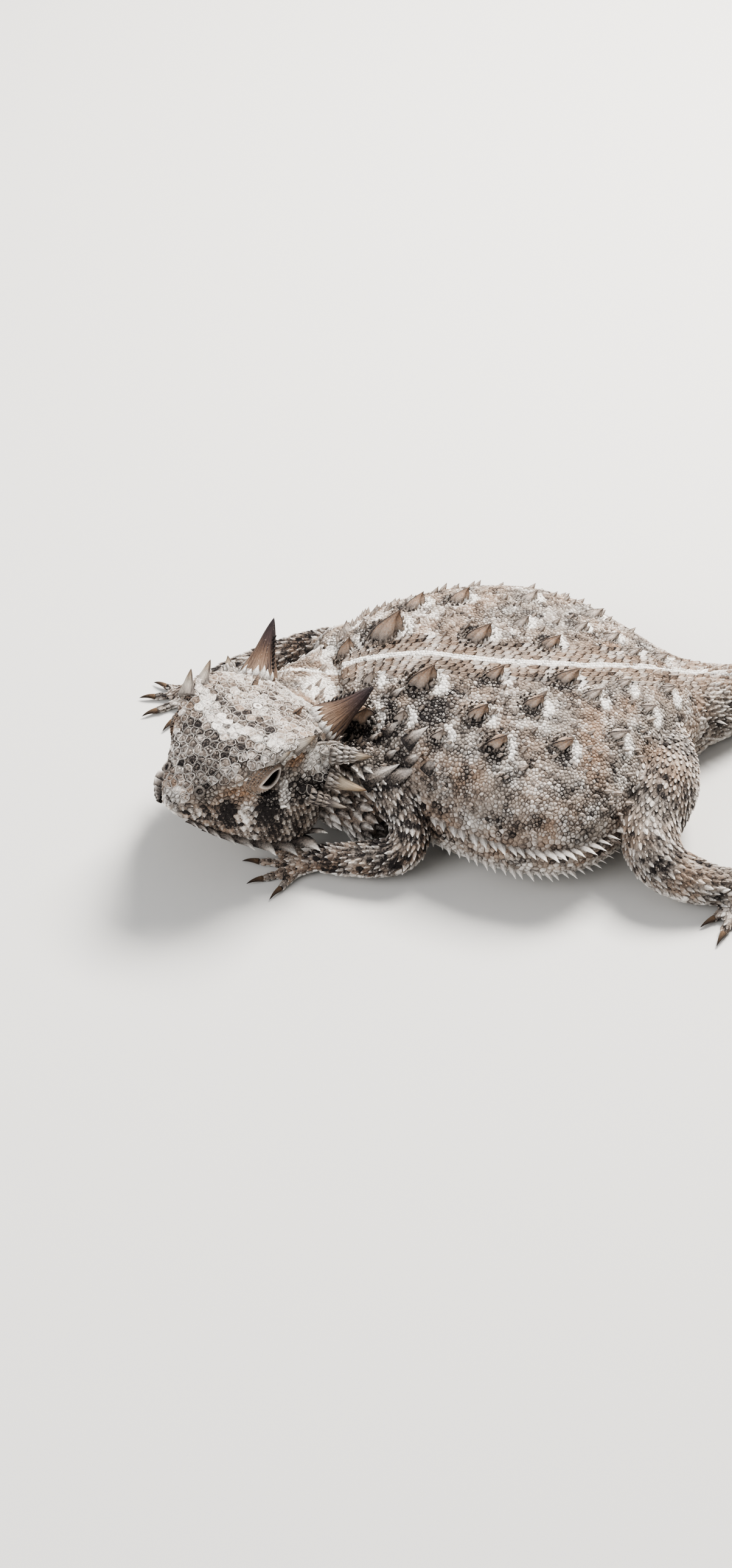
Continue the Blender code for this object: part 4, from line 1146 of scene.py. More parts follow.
def keel_piece(name, chosen, long, wide, high, crest, lit, strips):
    """Keeled scales in multiples of their reach. crest is how dark the ridge is, lit how pale the tip."""
    shape, faces = keel_shape(strips)
    ridge = (np.abs(shape[:, 1]) < 0.01) & (shape[:, 2] > -0.1)
    tip = shape[:, 0] > 0.9
    root = shape[:, 0] < -0.9
    size = site_reach[chosen][:, None, None] * chance.uniform(0.85, 1.2, (len(chosen), 1, 1))
    placed = sites[chosen][:, None] + size * (
        long * shape[None, :, :1] * lies[chosen][:, None]
        + wide * shape[None, :, 1:2] * sideways[chosen][:, None]
        + high * shape[None, :, 2:3] * site_normals[chosen][:, None]
    )
    placed[:, :, 2] = np.maximum(placed[:, :, 2], 0.05)
    shade = np.zeros((len(shape), 3))
    shade[ridge] = [crest, 0.08, -0.10 + 0.35 * lit]
    shade[~ridge & ~tip & ~root] = [-0.04 + 0.34 * lit, 0.0, 0.10 - 0.25 * lit]
    # The root of each keeled scale, under the tip of the one before it, is painted darker as shade.
    shade[root] = [0.28 + 0.4 * lit, 0.0, -0.2]
    shade[tip] = [(crest - 0.15) * (1 - lit) - 0.55 * lit, 0.08, 0.05 + 0.75 * lit]
    ink = np.clip(site_marks[chosen][:, :1] * 1.3 - 0.3, 0, 1)[:, None]
    marks = np.minimum(site_marks[chosen], [0.84, 1, 1])[:, None] + shade[None] * (1 - 0.4 * ink)
    joined(name, faces, placed, marks, site_chart[chosen], shape[:, :2], scale_look)


# The tail's scales come with the neck's, and again a little smaller as a piece of their own.
keeled = site_form == "keel"
on_stripe = keeled & (np.arange(len(sites)) < placed_by_rows) & on_trunk
off_limbs = keeled & ~on_stripe & ~is_lip & is_part(site_part, "trunk", "tail", "neck", "head")
KEEL_PIECES = [
    ("keels_back", on_stripe, 1.75, 1.3, 1.5, 0.85, 0.0, 4),
    ("keels_lips", keeled & is_lip, 1.4, 2.0, 0.9, -0.05, 0.8, 2),
    ("keels_neck", off_limbs, 1.7, 1.6, 2.0, 0.05, 1.0, 2),
    ("keels_tail", keeled & is_part(site_part, "tail"), 1.6, 1.5, 1.4, 0.1, 0.5, 2),
    ("keels_arms", keeled & is_part(site_part, *ARMS), 1.75, 1.5, 2.3, 0.0, 0.9, 2),
    ("keels_legs", keeled & is_part(site_part, *LEGS), 1.75, 1.5, 2.0, 0.0, 0.7, 2),
    ("keels_hands_feet", keeled & is_part(site_part, *PAWS), 1.5, 1.5, 1.2, 0.0, 0.6, 2),
]
for name, where, *look in KEEL_PIECES:
    keel_piece(name, np.flatnonzero(where), *look)

# Spines: horny points, ridged and hollow-sided, set in the skin with their roots sunk.
# The largest stand in rows on the back, each in a ring of short ones. Flat ones fringe the flanks and tail.
BACKWARD = np.array([1.0, 0.0, 0.0])
STRAIGHT = np.zeros(3)


def point_shape(sides, steps, ridges, hollow):
    """A ridged cone of unit radius and height, its sides drawn in between the ridges."""
    bm = bmesh.new()
    bmesh.ops.create_cone(bm, cap_ends=True, segments=sides, radius1=1.0, radius2=0.02, depth=1.0)
    bmesh.ops.translate(bm, verts=bm.verts, vec=(0, 0, 0.5))
    for step in range(1, steps):
        geometry = bm.verts[:] + bm.edges[:] + bm.faces[:]
        bmesh.ops.bisect_plane(bm, geom=geometry, plane_co=(0, 0, step / steps), plane_no=(0, 0, 1))
    for vert in bm.verts:
        turn = math.atan2(vert.co.y, vert.co.x)
        crest = abs(math.cos(turn * ridges / 2))
        drawn_in = hollow + (1 - hollow) * crest**1.5
        swell = drawn_in * (1 + 0.3 * math.sin(math.pi * vert.co.z) ** 2)
        vert.co.x *= swell
        vert.co.y *= swell
    bmesh.ops.recalc_face_normals(bm, faces=bm.faces)
    return shape_of(bm)


SPINE = point_shape(8, 4, 4, 0.74)
GREAT_SPINE = point_shape(32, 8, 4, 0.62)


def spine_piece(name, shape, rows, material, ridge_shade=0.28):
    """A row has foot, tip, the two half widths as vectors, bow, three marks from foot to tip, chart place."""
    points, faces = shape
    high = points[:, 2:3]
    ridge = np.clip(1 - 4 * np.abs(points[:, 1]) / np.hypot(points[:, 0], points[:, 1]), 0, 1)
    placed, marks = [], []
    for foot, tip, wide, thin, bow, foot_marks, middle_marks, tip_marks, _ in rows:
        path = foot + high * (tip - foot) + np.sin(math.pi * high) * bow
        placed.append(path + points[:, :1] * wide + points[:, 1:2] * thin)
        stages = zip(foot_marks, middle_marks, tip_marks)
        tones = [np.interp(points[:, 2], [0.05, 0.45, 1], values) for values in stages]
        crest = ridge * np.clip(points[:, 2] * 4, 0, 1) * ridge_shade
        marks.append(np.column_stack(tones) + crest[:, None] * [1.0, -0.3, -0.5])
    placed = np.array(placed)
    placed[:, :, 2] = np.maximum(placed[:, :, 2], 0.03)
    charts = np.array([row[-1] for row in rows])
    joined(name, faces, placed, np.array(marks), charts, points[:, :2], material)


spine_look = skin_finish("spine_horn", 0.6, 0.7)
rows, ring_rows = [], []
for place, normal, fact, height in great_spines:
    chart = chart_at(fact)
    back = unit(BACKWARD - normal * normal[0])
    across = np.cross(normal, back)
    tall = height * random.uniform(0.92, 1.05)
    tip = place + normal * tall * 0.86 + back * tall * 0.86
    wide, thin = back * 0.74 * height, across * 0.52 * height
    bow = (normal - back) * 0.10 * tall
    tones = (0.40, 0.10, 0.35), (0.04, 0.52, 0.26), (0.60, 0.45, 0.0)
    if height < LARGE_SPINE:
        tones = (0.25, 0.15, 0.40), (0.08, 0.35, 0.45), (0.55, 0.25, 0.15)
    rows.append((place - normal * 0.45, tip, wide, thin, bow, *tones, chart))
    count = 11 + int(height * 2)
    for layer, spread in ((0, 0.68), (1, 0.90)):
        for k in range(count):
            turn = 2 * math.pi * (k + 0.5 * layer + random.uniform(-0.25, 0.25)) / count
            out = back * math.cos(turn) * 1.15 + across * math.sin(turn)
            root, here, _ = skin_at(place + out * height * spread * 0.86)
            lean = unit(here * 0.95 - out * 0.35 * (1 - layer) + out * 0.2 * layer + back * 0.35)
            small = height * random.uniform(0.14, 0.26) * (1 - 0.3 * layer) + 0.12
            shade = (0.45, 0.12, 0.15) if layer == 0 else (0.70, 0.05, 0.05)
            if height < LARGE_SPINE:
                shade = (0.30, 0.10, 0.30)
            if out[0] > 0.55:
                shade = (0.25, 0.05, 0.5)
            half = 0.17 + 0.05 * height
            shades = shade, shade, np.array(shade) + [-0.15, 0.02, 0.2]
            widths = np.cross(here, unit(out)) * half * 1.3, unit(out) * half * 0.7
            ring_rows.append((root - lean * 0.2, root + lean * small, *widths, STRAIGHT, *shades, chart))
spine_piece("spines_back", GREAT_SPINE, rows, spine_look, 0.95)
spine_piece("spine_rings", SPINE, ring_rows, spine_look, 0.2)


def flank_rows(table, start, end, count, angle, length, half, taper):
    """Flat spines along both sides of the trunk or tail, at one angle round its section."""
    made = []
    for side in (1, -1):
        for k in range(count):
            share = (k + 0.5 + random.uniform(-0.15, 0.15)) / count
            position = start + (end - start) * share
            size = (1 - taper * (2 * share - 1) ** 2) * random.uniform(0.85, 1.15)
            place, normal, fact = skin_at(section_point(table, position, angle, side))
            if PARTS[int(fact[0])] not in ("trunk", "tail"):
                continue
            way = unit(normal + BACKWARD * 0.6)
            tip = place + way * length * size
            tip[2] = max(tip[2], 0.25)
            thin = unit(np.cross(way, BACKWARD)) * half * 0.45 * size
            marks = (0.35, 0.08, 0.15), (0.08, 0.08, 0.5), (0.0, 0.05, 0.9)
            widths = BACKWARD * half * size, thin
            made.append((place - way * 0.5, tip, *widths, STRAIGHT, *marks, chart_at(fact)))
    return made


rows = flank_rows(TRUNK, -13.0, 15.0, 27, 4, 2.1, 0.75, 0.35)
rows += flank_rows(TRUNK, -11.0, 12.0, 24, -14, 1.4, 0.6, 0.35)
rows += flank_rows(TAIL, 24.6, 36.6, 15, 6, 1.5, 0.6, 0.0)
rows += flank_rows(TAIL, 37.0, 52.0, 20, 6, 0.95, 0.45, 0.3)
fringe_look = skin_finish("fringe_horn", 0.65, 0.8)
spine_piece("spines_flank", SPINE, rows, fringe_look)

# Horn sheaths: brown keratin with fine grooves along it, darker towards the tip, over each boss of the skull.
# The three of each temple and the small ones over the eyes are paler, and pointed scales wrap every foot.
HORN_SIDES, HORN_STEPS = 40, 16
# The direction of a horn's dark upper keel, in the head's frame; the opposite, lower edge is painted shade.
DARK_EDGE = np.array([-0.32, -0.52, 0.79])


def horn_finish(name, stops, groove):
    made = Finish(name, Metallic=0.0, Specular_IOR_Level=0.4)
    marks = made.node("ShaderNodeAttribute", {"attribute_name": "horn"}, output=1)
    parts = made.node("ShaderNodeSeparateXYZ", {}, {0: marks})
    share, c, s = (Value(made, parts.socket.node.outputs[k]) for k in range(3))
    around = made.node("ShaderNodeCombineXYZ", {}, {0: share * 0.8, 1: c * 4.0, 2: s * 4.0})
    lines = made.grain(0.30, 4.0, 0.7, around)
    fleck = made.grain(0.00024, 3.0, 0.65)
    place = (share + (lines - 0.5) * 0.5).clamped()
    colour = made.node("ShaderNodeValToRGB", {"stops": stops}, {0: place})
    # Darker where c nears 1 or -1: on the horns the upper edge is a dark keel and the lower edge is painted
    # shade.
    edge = ((abs(c) - 0.72) * 3.2).clamped()
    ink = (((lines - 0.50) * 6.0).clamped() * groove + edge * 0.85 * (share * 0.6 + 0.45)).clamped()
    streaked = made.blend(ink, colour, (0.026, 0.017, 0.018))
    dusty = made.blend(((fleck - 0.60) * 5.0).clamped() * 0.55, streaked, (0.56, 0.47, 0.39))
    return made.dress(dusty, 0.45 + fleck * 0.3, lines * 1.2 + fleck * 0.25, 0.8, 0.0002)


BROWN_TONES = [
    (0.0, (0.30, 0.215, 0.155)), (0.35, (0.17, 0.105, 0.068)),
    (0.7, (0.075, 0.046, 0.042)), (1.0, (0.028, 0.021, 0.026)),
]
CREAM_TONES = [
    (0.0, (0.34, 0.29, 0.245)), (0.45, (0.52, 0.43, 0.33)),
    (0.8, (0.50, 0.37, 0.24)), (1.0, (0.17, 0.09, 0.05)),
]
BONE_TONES = [
    (0.0, (0.26, 0.225, 0.195)), (0.5, (0.46, 0.41, 0.35)),
    (0.8, (0.36, 0.28, 0.20)), (1.0, (0.12, 0.08, 0.055)),
]
SLATE_TONES = [
    (0.0, (0.05, 0.042, 0.04)), (0.5, (0.10, 0.085, 0.08)),
    (0.85, (0.42, 0.36, 0.30)), (1.0, (0.55, 0.48, 0.40)),
]
BROWN = horn_finish("horn_brown", BROWN_TONES, 0.9)
CREAM = horn_finish("horn_cream", CREAM_TONES, 0.75)
BONE = horn_finish("horn_bone", BONE_TONES, 0.9)
SLATE = horn_finish("horn_slate", SLATE_TONES, 0.6)


def ring_turns(sides):
    """The angles of the points round a ring, from a quarter turn on."""
    return [math.pi / 2 + 2 * math.pi * k / sides for k in range(sides)]


def shell_piece(name, tubes, attribute, values, material, replaced=()):
    """Closed tubes through their rings of points, as one piece with an attribute value for each point."""
    bm = bmesh.new()
    for rings in tubes:
        bridge_rings(bm, rings)
    bmesh.ops.recalc_face_normals(bm, faces=bm.faces)
    mesh = mesh_of(name, bm)
    add_facts(mesh, attribute, np.array(values))
    mesh.materials.append(material)
    finish_piece(mesh_object(name, mesh), replaced)


def horn(name, foot, tip, radius, flat, side, material, replaced=()):
    """A grooved horn, bowed upward a little, darker along its upper inner edge, a dark keel, and its lower outer
    edge, painted shade.
    """
    direction = unit(tip - foot)
    length = np.linalg.norm(tip - foot)
    edge = TURN @ (DARK_EDGE * [1, side, 1])
    edge = unit(edge - direction * (edge @ direction))
    breadth = np.cross(direction, edge)
    rings, facts = [], []
    for step in range(HORN_STEPS + 1):
        t = step / HORN_STEPS
        size = radius * (1 - t) ** 0.85 * (1 + 0.05 * math.sin(9 * t)) + 0.02
        bow = TURN[:, 2] * (-0.04 * length * math.sin(math.pi * t))
        ring = []
        for turn in ring_turns(HORN_SIDES):
            groove = 1 + 0.05 * math.sin(9 * turn + 1.3) + 0.03 * math.sin(14 * turn + 3 * t)
            out = edge * math.cos(turn) * 1.06 + breadth * math.sin(turn) * flat
            ring.append(foot + (tip - foot) * t + bow + out * size * groove)
            facts.append((t, math.cos(turn), math.sin(turn)))
        rings.append(ring)
    shell_piece(name, [rings], "horn", facts, material, replaced)


HORN_LOOKS = {"occipital": BROWN, "temporal_1": BONE, "temporal_2": CREAM, "temporal_3": SLATE}
# Foot, tip, radius and flatness of the small horns over each eye. Those on the head's right are less worn.
BROW_HORNS = {
    1: [
        ("brow", (7.6, 7.2, 0.0), (5.3, 8.4, 1.75), 0.9, 0.6),
        ("brow_front", (9.8, 7.3, -0.5), (8.9, 8.0, 0.7), 0.5, 0.7),
    ],
    -1: [
        ("brow", (8.0, 7.0, -0.1), (5.3, 8.4, 1.9), 1.25, 0.6),
        ("brow_front", (10.3, 6.9, -0.4), (8.5, 8.4, 1.8), 1.1, 0.6),
    ],
}
for side, side_word in ((1, "left"), (-1, "right")):
    mirror = np.array([1, side, 1])
    for name, _, _, _ in HORNS:
        foot, tip, direction, across, upward, radius = horn_frame(name, side)
        word = f"horn_{name}_{side_word}"
        horn(f"{word}_sheath", foot, tip, radius, 0.9, side, HORN_LOOKS[name], [word])
    for name, foot, tip, radius, flat in BROW_HORNS[side]:
        foot, tip = on_head(foot * mirror), on_head(tip * mirror)
        horn(f"horn_{name}_{side_word}", foot, tip, radius, flat, side, BONE)

# Small spines of the head: round the horns' feet, between the great horns, down each brow and along the jaw.
# Those of the jaw are broad flat blades, longer towards the throat, pale at the tip and dark at the root.
# Foot, tip, half breadth, thickness against that, and marks of each on the crown.
CROWN_SPINES = [
    ((3.3, 3.1, 0.0), (2.1, 3.6, 1.7), 0.85, 0.7, (0.5, 0.45, 0.05)),
    ((3.5, 7.8, -0.5), (2.7, 8.5, -0.1), 0.5, 0.5, (0.3, 0.1, 0.3)),
    ((1.6, 7.9, -1.0), (0.8, 8.6, -0.8), 0.5, 0.5, (0.3, 0.1, 0.3)),
]
# Place along the head, tip, and half breadth of each jaw blade.
JAW_BLADES = [
    (5.2, (3.3, 11.6, -13.6), 1.4), (7.9, (6.2, 10.6, -13.7), 1.35), (10.2, (8.8, 9.5, -13.3), 1.25),
    (12.1, (11.1, 8.1, -12.5), 1.0), (13.5, (12.8, 6.6, -12.0), 0.8), (14.7, (14.2, 5.3, -11.4), 0.65),
    (15.7, (15.3, 4.2, -10.8), 0.5), (16.5, (16.2, 3.3, -10.3), 0.42), (3.0, (1.4, 10.7, -12.4), 1.0),
]
# How far up each horn its scales reach, and how pale each ring of them is.
HORN_SCALES = {
    "occipital": [(0.0, 0.6)],
    "temporal_1": [(0.0, 0.5), (0.16, 0.5), (0.32, 0.45), (0.48, 0.4)],
    "temporal_2": [(0.0, 0.3), (0.14, 0.25)],
    "temporal_3": [(0.0, 0.1), (0.2, 0.05), (0.38, 0.05)],
}
rows = []
for side in (1, -1):
    mirror = np.array([1, side, 1])
    chart = chart_at([PARTS.index("head"), 0.5, 0.25 if side == 1 else 0.75])
    for foot, tip, half, flat, marks in CROWN_SPINES:
        foot, tip = on_head(foot * mirror), on_head(tip * mirror)
        wide = TURN[:, 0] * half
        thin = unit(np.cross(tip - foot, TURN[:, 0])) * flat * half
        shade = marks, marks, np.array(marks) + [-0.1, 0.05, 0.2]
        rows.append((foot, tip, wide, thin, STRAIGHT, *shade, chart))
    for position, tip, half in JAW_BLADES:
        *_, jaw, jaw_high, _ = along(HEAD, position)
        foot = on_head(np.array([tip[0] + 0.4 + 0.75 * half, jaw - 0.3, jaw_high + 0.35]) * mirror)
        tip = on_head(np.array(tip) * mirror)
        thin = unit(np.cross(tip - foot, TURN[:, 0])) * 0.34
        bow = unit(np.cross(tip - foot, thin)) * 0.30 * half
        shade = (0.75, 0.10, 0.05), (0.40, 0.12, 0.3), (0.0, 0.12, 0.9)
        rows.append((foot, tip, TURN[:, 0] * half * 1.2, thin, bow * side, *shade, chart))
    for name, _, _, _ in HORNS:
        foot, tip, direction, across, upward, radius = horn_frame(name, side)
        for up, pale in HORN_SCALES[name]:
            around = radius * (1 - up) ** 0.85
            count = int(7 + 5 * around)
            for k in range(count):
                turn = 2 * math.pi * (k + 0.5 * (up > 0) + random.uniform(-0.2, 0.2)) / count
                out = across * math.cos(turn) + upward * math.sin(turn)
                root = foot + (tip - foot) * up - direction * 0.3 + out * around
                end = root + direction * (0.55 + radius * random.uniform(0.2, 0.6)) - out * around * 0.12
                tone = pale + random.uniform(-0.2, 0.2)
                shade = (0.45, 0.05, tone * 0.4), (0.2, 0.02, tone), (0.05, 0.02, tone + 0.1)
                wide = np.cross(direction, out) * (around * 0.2 + 0.14)
                rows.append((root, end, wide, out * 0.2, out * 0.16, *shade, chart))
    foot, tip, direction, across, upward, radius = horn_frame("occipital", side)
    edge = TURN @ (DARK_EDGE * mirror)
    edge = unit(edge - direction * (edge @ direction))
    for k in range(9):
        t = 0.12 + 0.07 * k
        root = foot + (tip - foot) * t + edge * radius * (1 - t) ** 0.85 * 0.98
        end = root + edge * random.uniform(0.22, 0.42) + direction * 0.35
        widths = direction * 0.26, np.cross(direction, edge) * 0.2
        shade = (0.8, 0.1, 0.0), (0.8, 0.1, 0.0), (0.6, 0.1, 0.1)
        rows.append((root, end, *widths, STRAIGHT, *shade, chart))
spine_piece("spines_head", SPINE, rows, fringe_look)

# Spines of the neck and shoulders: single short points among the grains, leaning back.
# They are pale at the tip, with tan sides and dark roots.
rows = []
beside_rows = np.abs(stripe_distance(darts)) > 3.6
bare = is_part(dart_part, "trunk", "neck") & (darts[:, 0] < 16) & (up_share > -0.2) & ~neck_fold
bare &= beside_rows | is_part(dart_part, "neck")
odds = np.where((darts[:, 0] < -12) & beside_rows, 0.0035, 0.0013)
for k in np.flatnonzero(bare):
    if chance.random() > odds[k]:
        continue
    normal, lie = dart_normals[k], dart_facts[k, 3:6]
    way = unit(normal + lie * 0.7)
    length = random.uniform(0.55, 1.15)
    half = 0.26 + 0.22 * length
    chart = chart_at(dart_facts[k])
    back = unit(lie - normal * (lie @ normal))
    widths = back * half, np.cross(normal, back) * half * 0.7
    shade = (0.45, 0.1, 0.2), (0.1, 0.3, 0.35), (0.35, 0.2, 0.3)
    rows.append((darts[k] - way * 0.3, darts[k] + way * length, *widths, normal * 0.08, *shade, chart))
# The larger ones of the near shoulder: root, way to the tip, half breadth.
SHOULDER_SPINES = [
    ((-14.8, -8.0, 13.6), (1.4, 0.5, 0.8), 0.85), ((-12.4, -10.1, 13.9), (2.0, 0.7, 1.1), 1.1),
    ((-12.6, -12.0, 12.4), (1.5, 0.1, 0.8), 0.85), ((-17.0, -12.1, 9.9), (3.2, 0.5, 1.6), 1.3),
    ((-14.4, -12.8, 10.4), (2.8, 0.4, 1.2), 1.2), ((-14.9, -10.3, 11.7), (1.1, 0.2, 0.7), 0.7),
    ((-16.8, -8.0, 12.1), (0.9, 0.2, 0.6), 0.6), ((-13.9, -4.0, 15.4), (1.2, 0.3, 0.7), 0.7),
    ((-10.7, -13.6, 12.6), (1.2, 0.8, 0.9), 0.85), ((-18.6, -9.6, 10.2), (1.3, 0.1, 0.6), 0.8),
]
for place, way, half in SHOULDER_SPINES:
    place, normal, fact = skin_at(place)
    way = np.array(way) + normal * 0.25
    across = np.cross(normal, way)
    widths = unit(across) * half, unit(np.cross(way, across)) * half * 0.55
    shade = (0.85, 0.05, 0.0), (0.36, 0.12, 0.35), (0.1, 0.2, 0.7)
    rows.append((place - unit(way) * half, place + way, *widths, normal * 0.2, *shade, chart_at(fact)))
spine_piece("spines_single", SPINE, rows, fringe_look)

# Nostrils and the clear scale of the crown: low round rims in the skin, one on each side of the snout.
# Each is turned from the skin down into its middle: the nostril's is painted black as the shade in its opening,
# the clear scale's is glassy.
SHADE, RIM, HOLE_SHADE = (0.6, 0.0, 0.05), (0.45, 0.0, 0.15), (1.0, 0.0, 0.0)
GLASS, CENTRE = (0.0, 0.10, 0.85), (0.45, 0.0, 0.2)
# Radius, height above the skin, and marks of each ring, from the outside in.
NOSTRIL_RINGS = [
    (0.72, -0.2, SHADE), (0.70, 0.05, SHADE), (0.60, 0.20, RIM), (0.46, 0.24, RIM),
    (0.34, 0.14, SHADE), (0.27, 0.0, HOLE_SHADE), (0.2, -0.02, HOLE_SHADE),
]
DISC_RINGS = [
    (0.62, -0.2, SHADE), (0.60, 0.08, SHADE), (0.50, 0.14, GLASS),
    (0.30, 0.15, GLASS), (0.16, 0.17, CENTRE), (0.05, 0.18, CENTRE),
]


def pit(name, centre, profile):
    place, normal, _ = skin_at(centre)
    across = unit(np.cross(normal, TURN[:, 0]))
    rings, marks = [], []
    for radius, height, mark in profile:
        ring = []
        for turn in ring_turns(28):
            uneven = 1 + 0.05 * math.sin(5 * turn + 8 * radius)
            out = across * math.cos(turn) + np.cross(normal, across) * math.sin(turn)
            ring.append(place + out * radius * uneven + normal * height)
            marks.append(mark)
        rings.append(ring)
    shell_piece(name, [rings], "marks", marks, scale_look)


for side, side_word in ((1, "left"), (-1, "right")):
    pit(f"nostril_{side_word}", on_head(NOSTRIL * [1, side, 1]), NOSTRIL_RINGS)
pit("parietal_eye", on_head(PARIETAL_EYE), DISC_RINGS)

# Eyes: nearly black, wet and round, sunk behind the lids, so that only a dark slit shows.
# Each is a single glossy ball in its socket.
eye_look = Finish("eye", Roughness=0.06, Coat_Weight=1.0, Coat_Roughness=0.03, Specular_IOR_Level=0.6)
EYE_RADIUS = 2.0
eye_colour = eye_look.blend(eye_look.grain(0.0005), (0.010, 0.007, 0.006), (0.025, 0.015, 0.009))
eye_material = eye_look.dress(eye_colour)
for side, side_word in ((1, "left"), (-1, "right")):
    bm = bmesh.new()
    bmesh.ops.create_icosphere(bm, subdivisions=4, radius=EYE_RADIUS)
    bmesh.ops.translate(bm, verts=bm.verts, vec=on_head((EYE_CENTRE + [0, 0.15, 0.05]) * [1, side, 1]))
    mesh = mesh_of(f"eyeball_{side_word}", bm)
    mesh.materials.append(eye_material)
    finish_piece(mesh_object(mesh.name, mesh), [f"eye_{side_word}"])

# Lids: a thick upper and lower fold that close to an almond slit, edged in cream and covered in fine grains.
# They are one band of skin round the slit, from inside its edge out to the socket's rim, under rows of beads.
SLIT_TILT = 13.0
# Half length, half height and how proud each ring is.
LID_RINGS = [
    (1.62, 0.86, -0.42), (1.66, 0.91, -0.08), (1.76, 1.00, 0.06), (1.92, 1.13, 0.09), (2.06, 1.27, 0.02),
    (2.2, 1.48, 0.0), (2.42, 1.76, 0.0), (2.62, 2.08, -0.02), (2.82, 2.42, -0.3),
]
# Half length and half height of each row of beads, their size and number.
LID_BEADS = [
    (2.08, 1.34, 0.09, 48), (2.22, 1.50, 0.11, 44), (2.38, 1.70, 0.13, 40),
    (2.56, 1.94, 0.15, 38), (2.74, 2.2, 0.17, 36),
]
LID_SIDES = 44
lid_look = skin_finish("lids", 0.7, 0.5)
bead = bmesh.new()
bmesh.ops.create_icosphere(bead, subdivisions=1, radius=1.0)
bead_points, bead_faces = shape_of(bead)


def lid_point(half_length, half_height, proud, turn, roundness, side):
    """A point on the lids' surface, turn being 0 at the slit's front corner, in the body's frame."""
    tilt = math.radians(SLIT_TILT)
    x = half_length * math.cos(turn)
    almond = 1 - abs(math.cos(turn)) ** 1.8
    rise = almond * (1 - roundness) + abs(math.sin(turn)) * roundness
    z = half_height * math.copysign(rise, math.sin(turn))
    dx = x * math.cos(tilt) + z * math.sin(tilt)
    fade = 1 - max(half_length - 1.9, 0.0)
    dx -= 0.25 * fade
    dz = z * math.cos(tilt) - x * math.sin(tilt) + 0.05 + 0.13 * fade
    cover = 1 - (dx / (LIDS[0] + 0.25)) ** 2 - (dz / (LIDS[2] + 0.25)) ** 2
    y = EYE_CENTRE[1] + LIDS[1] * math.sqrt(max(cover, 0.0)) + proud - 0.02
    return on_head(np.array([EYE_CENTRE[0] + dx, y, EYE_CENTRE[2] + dz]) * [1, side, 1])


for side, side_word in ((1, "left"), (-1, "right")):
    bm = bmesh.new()
    rings, lid_marks = [], []
    for step, (half_length, half_height, proud) in enumerate(LID_RINGS):
        roundness = step / (len(LID_RINGS) - 1)
        turns = ring_turns(LID_SIDES)
        rings.append([lid_point(half_length, half_height, proud, turn, roundness, side) for turn in turns])
        rim = 1.0 if 1 <= step <= 3 else 0.0
        # The innermost ring, where the lids turn in to the eye, is painted dark as shade; the cream edge rings
        # are the lids' own colour.
        lid_marks += [(0.6 * (step == 0) + 0.2 * (1 - rim), 0.34, 0.5 * rim + 0.1)] * LID_SIDES
    bridge_rings(bm, rings, closed=False)
    bmesh.ops.recalc_face_normals(bm, faces=bm.faces)
    mesh = mesh_of(f"lids_{side_word}", bm)
    add_facts(mesh, "marks", np.array(lid_marks))
    mesh.materials.append(lid_look)
    lids = mesh_object(mesh.name, mesh)
    wall = lids.modifiers.new("wall", "SOLIDIFY")
    wall.thickness = 0.12
    wall.offset = -1.0
    apply_modifiers(lids)
    finish_piece(lids)
    placed, marks = [], []
    for row, (half_length, half_height, size, count) in enumerate(LID_BEADS):
        for k in range(count):
            turn = 2 * math.pi * (k + 0.5 * (row % 2) + random.uniform(-0.15, 0.15)) / count
            centre = lid_point(half_length, half_height, -0.02, turn, (row + 4) / 8, side)
            stretch = np.array([1.15, 0.75, 1.0]) * size * random.uniform(0.85, 1.2)
            placed.append(centre + (bead_points * stretch) @ TURN.T)
            corner = abs(math.cos(turn)) ** 3
            # Beads on the upper lid are painted darker, as the brow's shadow.
            dark = 0.34 + 0.2 * (math.sin(turn) > 0.2)
            shade = np.array([dark, 0.12 + 0.25 * corner, 0.35 - 0.2 * corner]) + chance.normal(0, 0.1, 3)
            # The outer face of each bead is painted paler, as highlight.
            crest = (bead_points[:, 1] * side > 0.3)[:, None] * [-0.15, 0.0, 0.15]
            marks.append(shade + crest)
    chart = chart_at([PARTS.index("head"), 0.6, 0.3 if side == 1 else 0.7])
    charts = np.tile(chart, (len(placed), 1))
    across = bead_points[:, [0, 2]]
    joined(f"lid_beads_{side_word}", bead_faces, np.array(placed), np.array(marks), charts, across, lid_look)

# Claws: dark horn, curved down to the ground, one on each toe.
# They are set in the last joint of the toe.
claw_look = horn_finish("claw_horn", [(0.0, (0.20, 0.13, 0.08)), (1.0, (0.03, 0.02, 0.015))], 0.4)
CLAW_LENGTH, CLAW_SIDES, CLAW_STEPS = 2.0, 10, 6
claws, facts = [], []
for root, way, width in claw_roots:
    across = np.array([-way[1], way[0], 0.0])
    rings = []
    for step in range(CLAW_STEPS + 1):
        t = step / CLAW_STEPS
        centre = root + way * CLAW_LENGTH * t + UP * (0.28 * math.sin(math.pi * t * 0.8) - 0.34 * t)
        size = 0.62 * width * (1 - t) ** 0.8 + 0.02
        ring = []
        for turn in ring_turns(CLAW_SIDES):
            ring.append(centre + across * math.cos(turn) * size * 0.8 + UP * math.sin(turn) * size)
            facts.append((t, math.cos(turn), math.sin(turn)))
        rings.append(ring)
    claws.append(rings)
shell_piece("claws", claws, "horn", facts, claw_look)

# The skin itself is finished last, because the scales were laid on it in millimetres.
finish_piece(skin, FLESH_NODES)

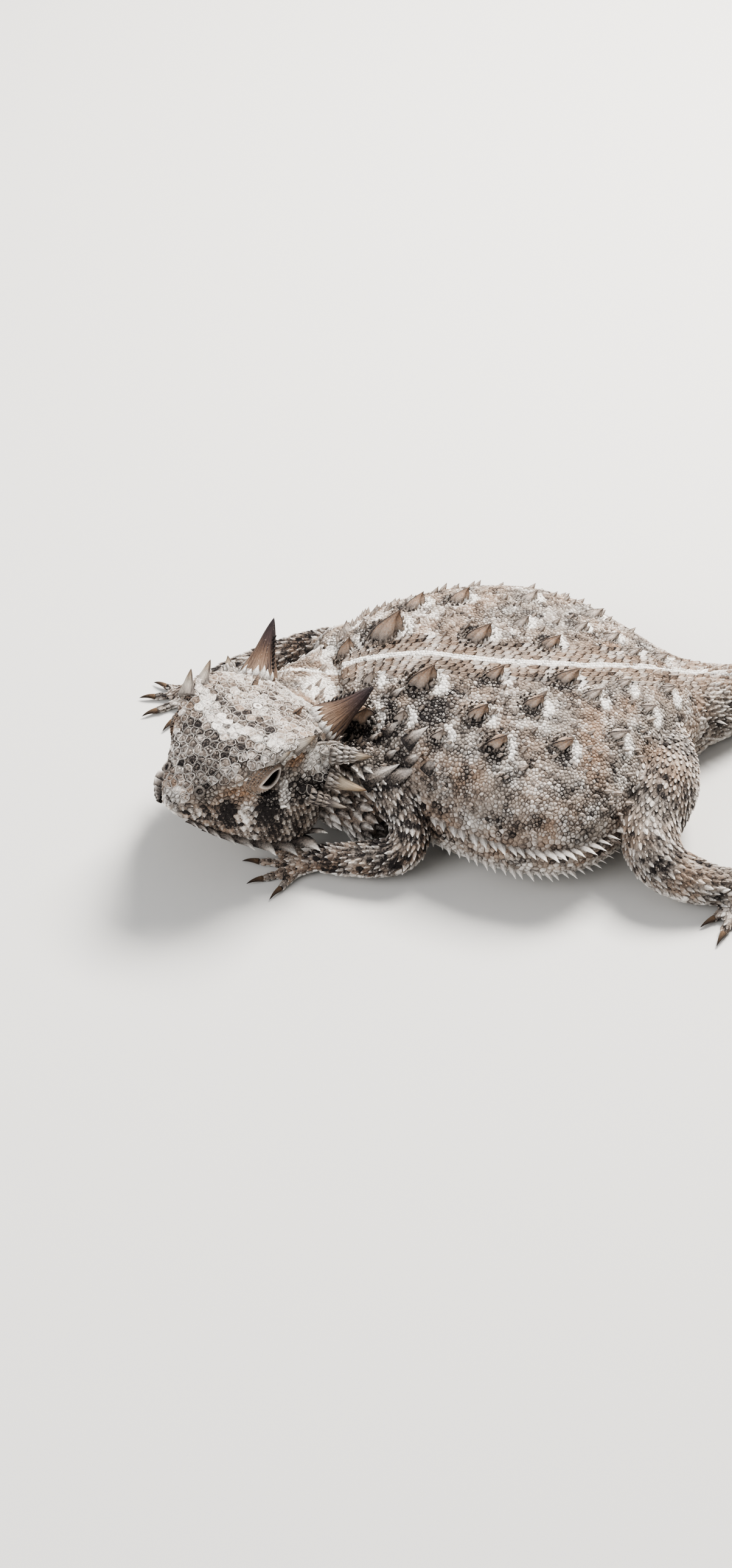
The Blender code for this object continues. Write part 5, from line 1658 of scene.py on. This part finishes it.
# Stage: a plain pale floor with a wide soft lamp overhead, a weaker fill in front and an even pale surround.
# The camera looks down at the animal's left side from the front, as the photograph does.
floor_bm = bmesh.new()
bmesh.ops.create_grid(floor_bm, x_segments=1, y_segments=1, size=3.0)
floor_mesh = mesh_of("floor", floor_bm)
floor_look = Finish("floor_paint", Roughness=0.8, Specular_IOR_Level=0.2)
floor_mesh.materials.append(floor_look.dress((0.56, 0.545, 0.52)))
floor = mesh_object("floor", floor_mesh)
floor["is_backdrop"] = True


def lamp(name, place, target, size, power, colour):
    light = bpy.data.lights.new(name, "AREA")
    light.shape = "RECTANGLE"
    light.size, light.size_y = size
    light.energy = power
    light.color = colour
    made = bpy.data.objects.new(name, light)
    bpy.context.scene.collection.objects.link(made)
    made.location = place
    made.rotation_euler = (Vector(target) - Vector(place)).to_track_quat("-Z", "Y").to_euler()


MIDDLE = (-0.005, -0.004, 0.008)
lamp("key", (0.16, 0.20, 0.36), MIDDLE, (0.18, 0.18), 4.4, (1.0, 0.98, 0.95))
lamp("fill", (-0.34, -0.22, 0.26), MIDDLE, (0.3, 0.3), 1.3, (0.95, 0.97, 1.0))
world = bpy.data.worlds.new("surround")
world.use_nodes = True
world.node_tree.nodes["Background"].inputs["Color"].default_value = (0.92, 0.94, 0.97, 1.0)
world.node_tree.nodes["Background"].inputs["Strength"].default_value = 0.55
bpy.context.scene.world = world
bpy.context.scene.view_settings.view_transform = "AgX"
bpy.context.scene.view_settings.look = "AgX - High Contrast"

# Looking down 43 degrees through a long lens, so the whole height of the picture takes in about 190 mm.
camera_data = bpy.data.cameras.new("camera")
camera_data.sensor_fit = "VERTICAL"
camera_data.sensor_height = 36.0
camera_data.lens = 69.70
camera_data.clip_start = 0.01
camera = bpy.data.objects.new("camera", camera_data)
camera.location = (-0.035633, -0.267374, 0.247655)
camera.rotation_euler = (math.radians(47), 0.0, math.radians(-4))
bpy.context.scene.collection.objects.link(camera)
bpy.context.scene.camera = camera

sizes = {"cad": [list(map(float, c)) for c in cad_box], "visual": [list(map(float, c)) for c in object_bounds()]}
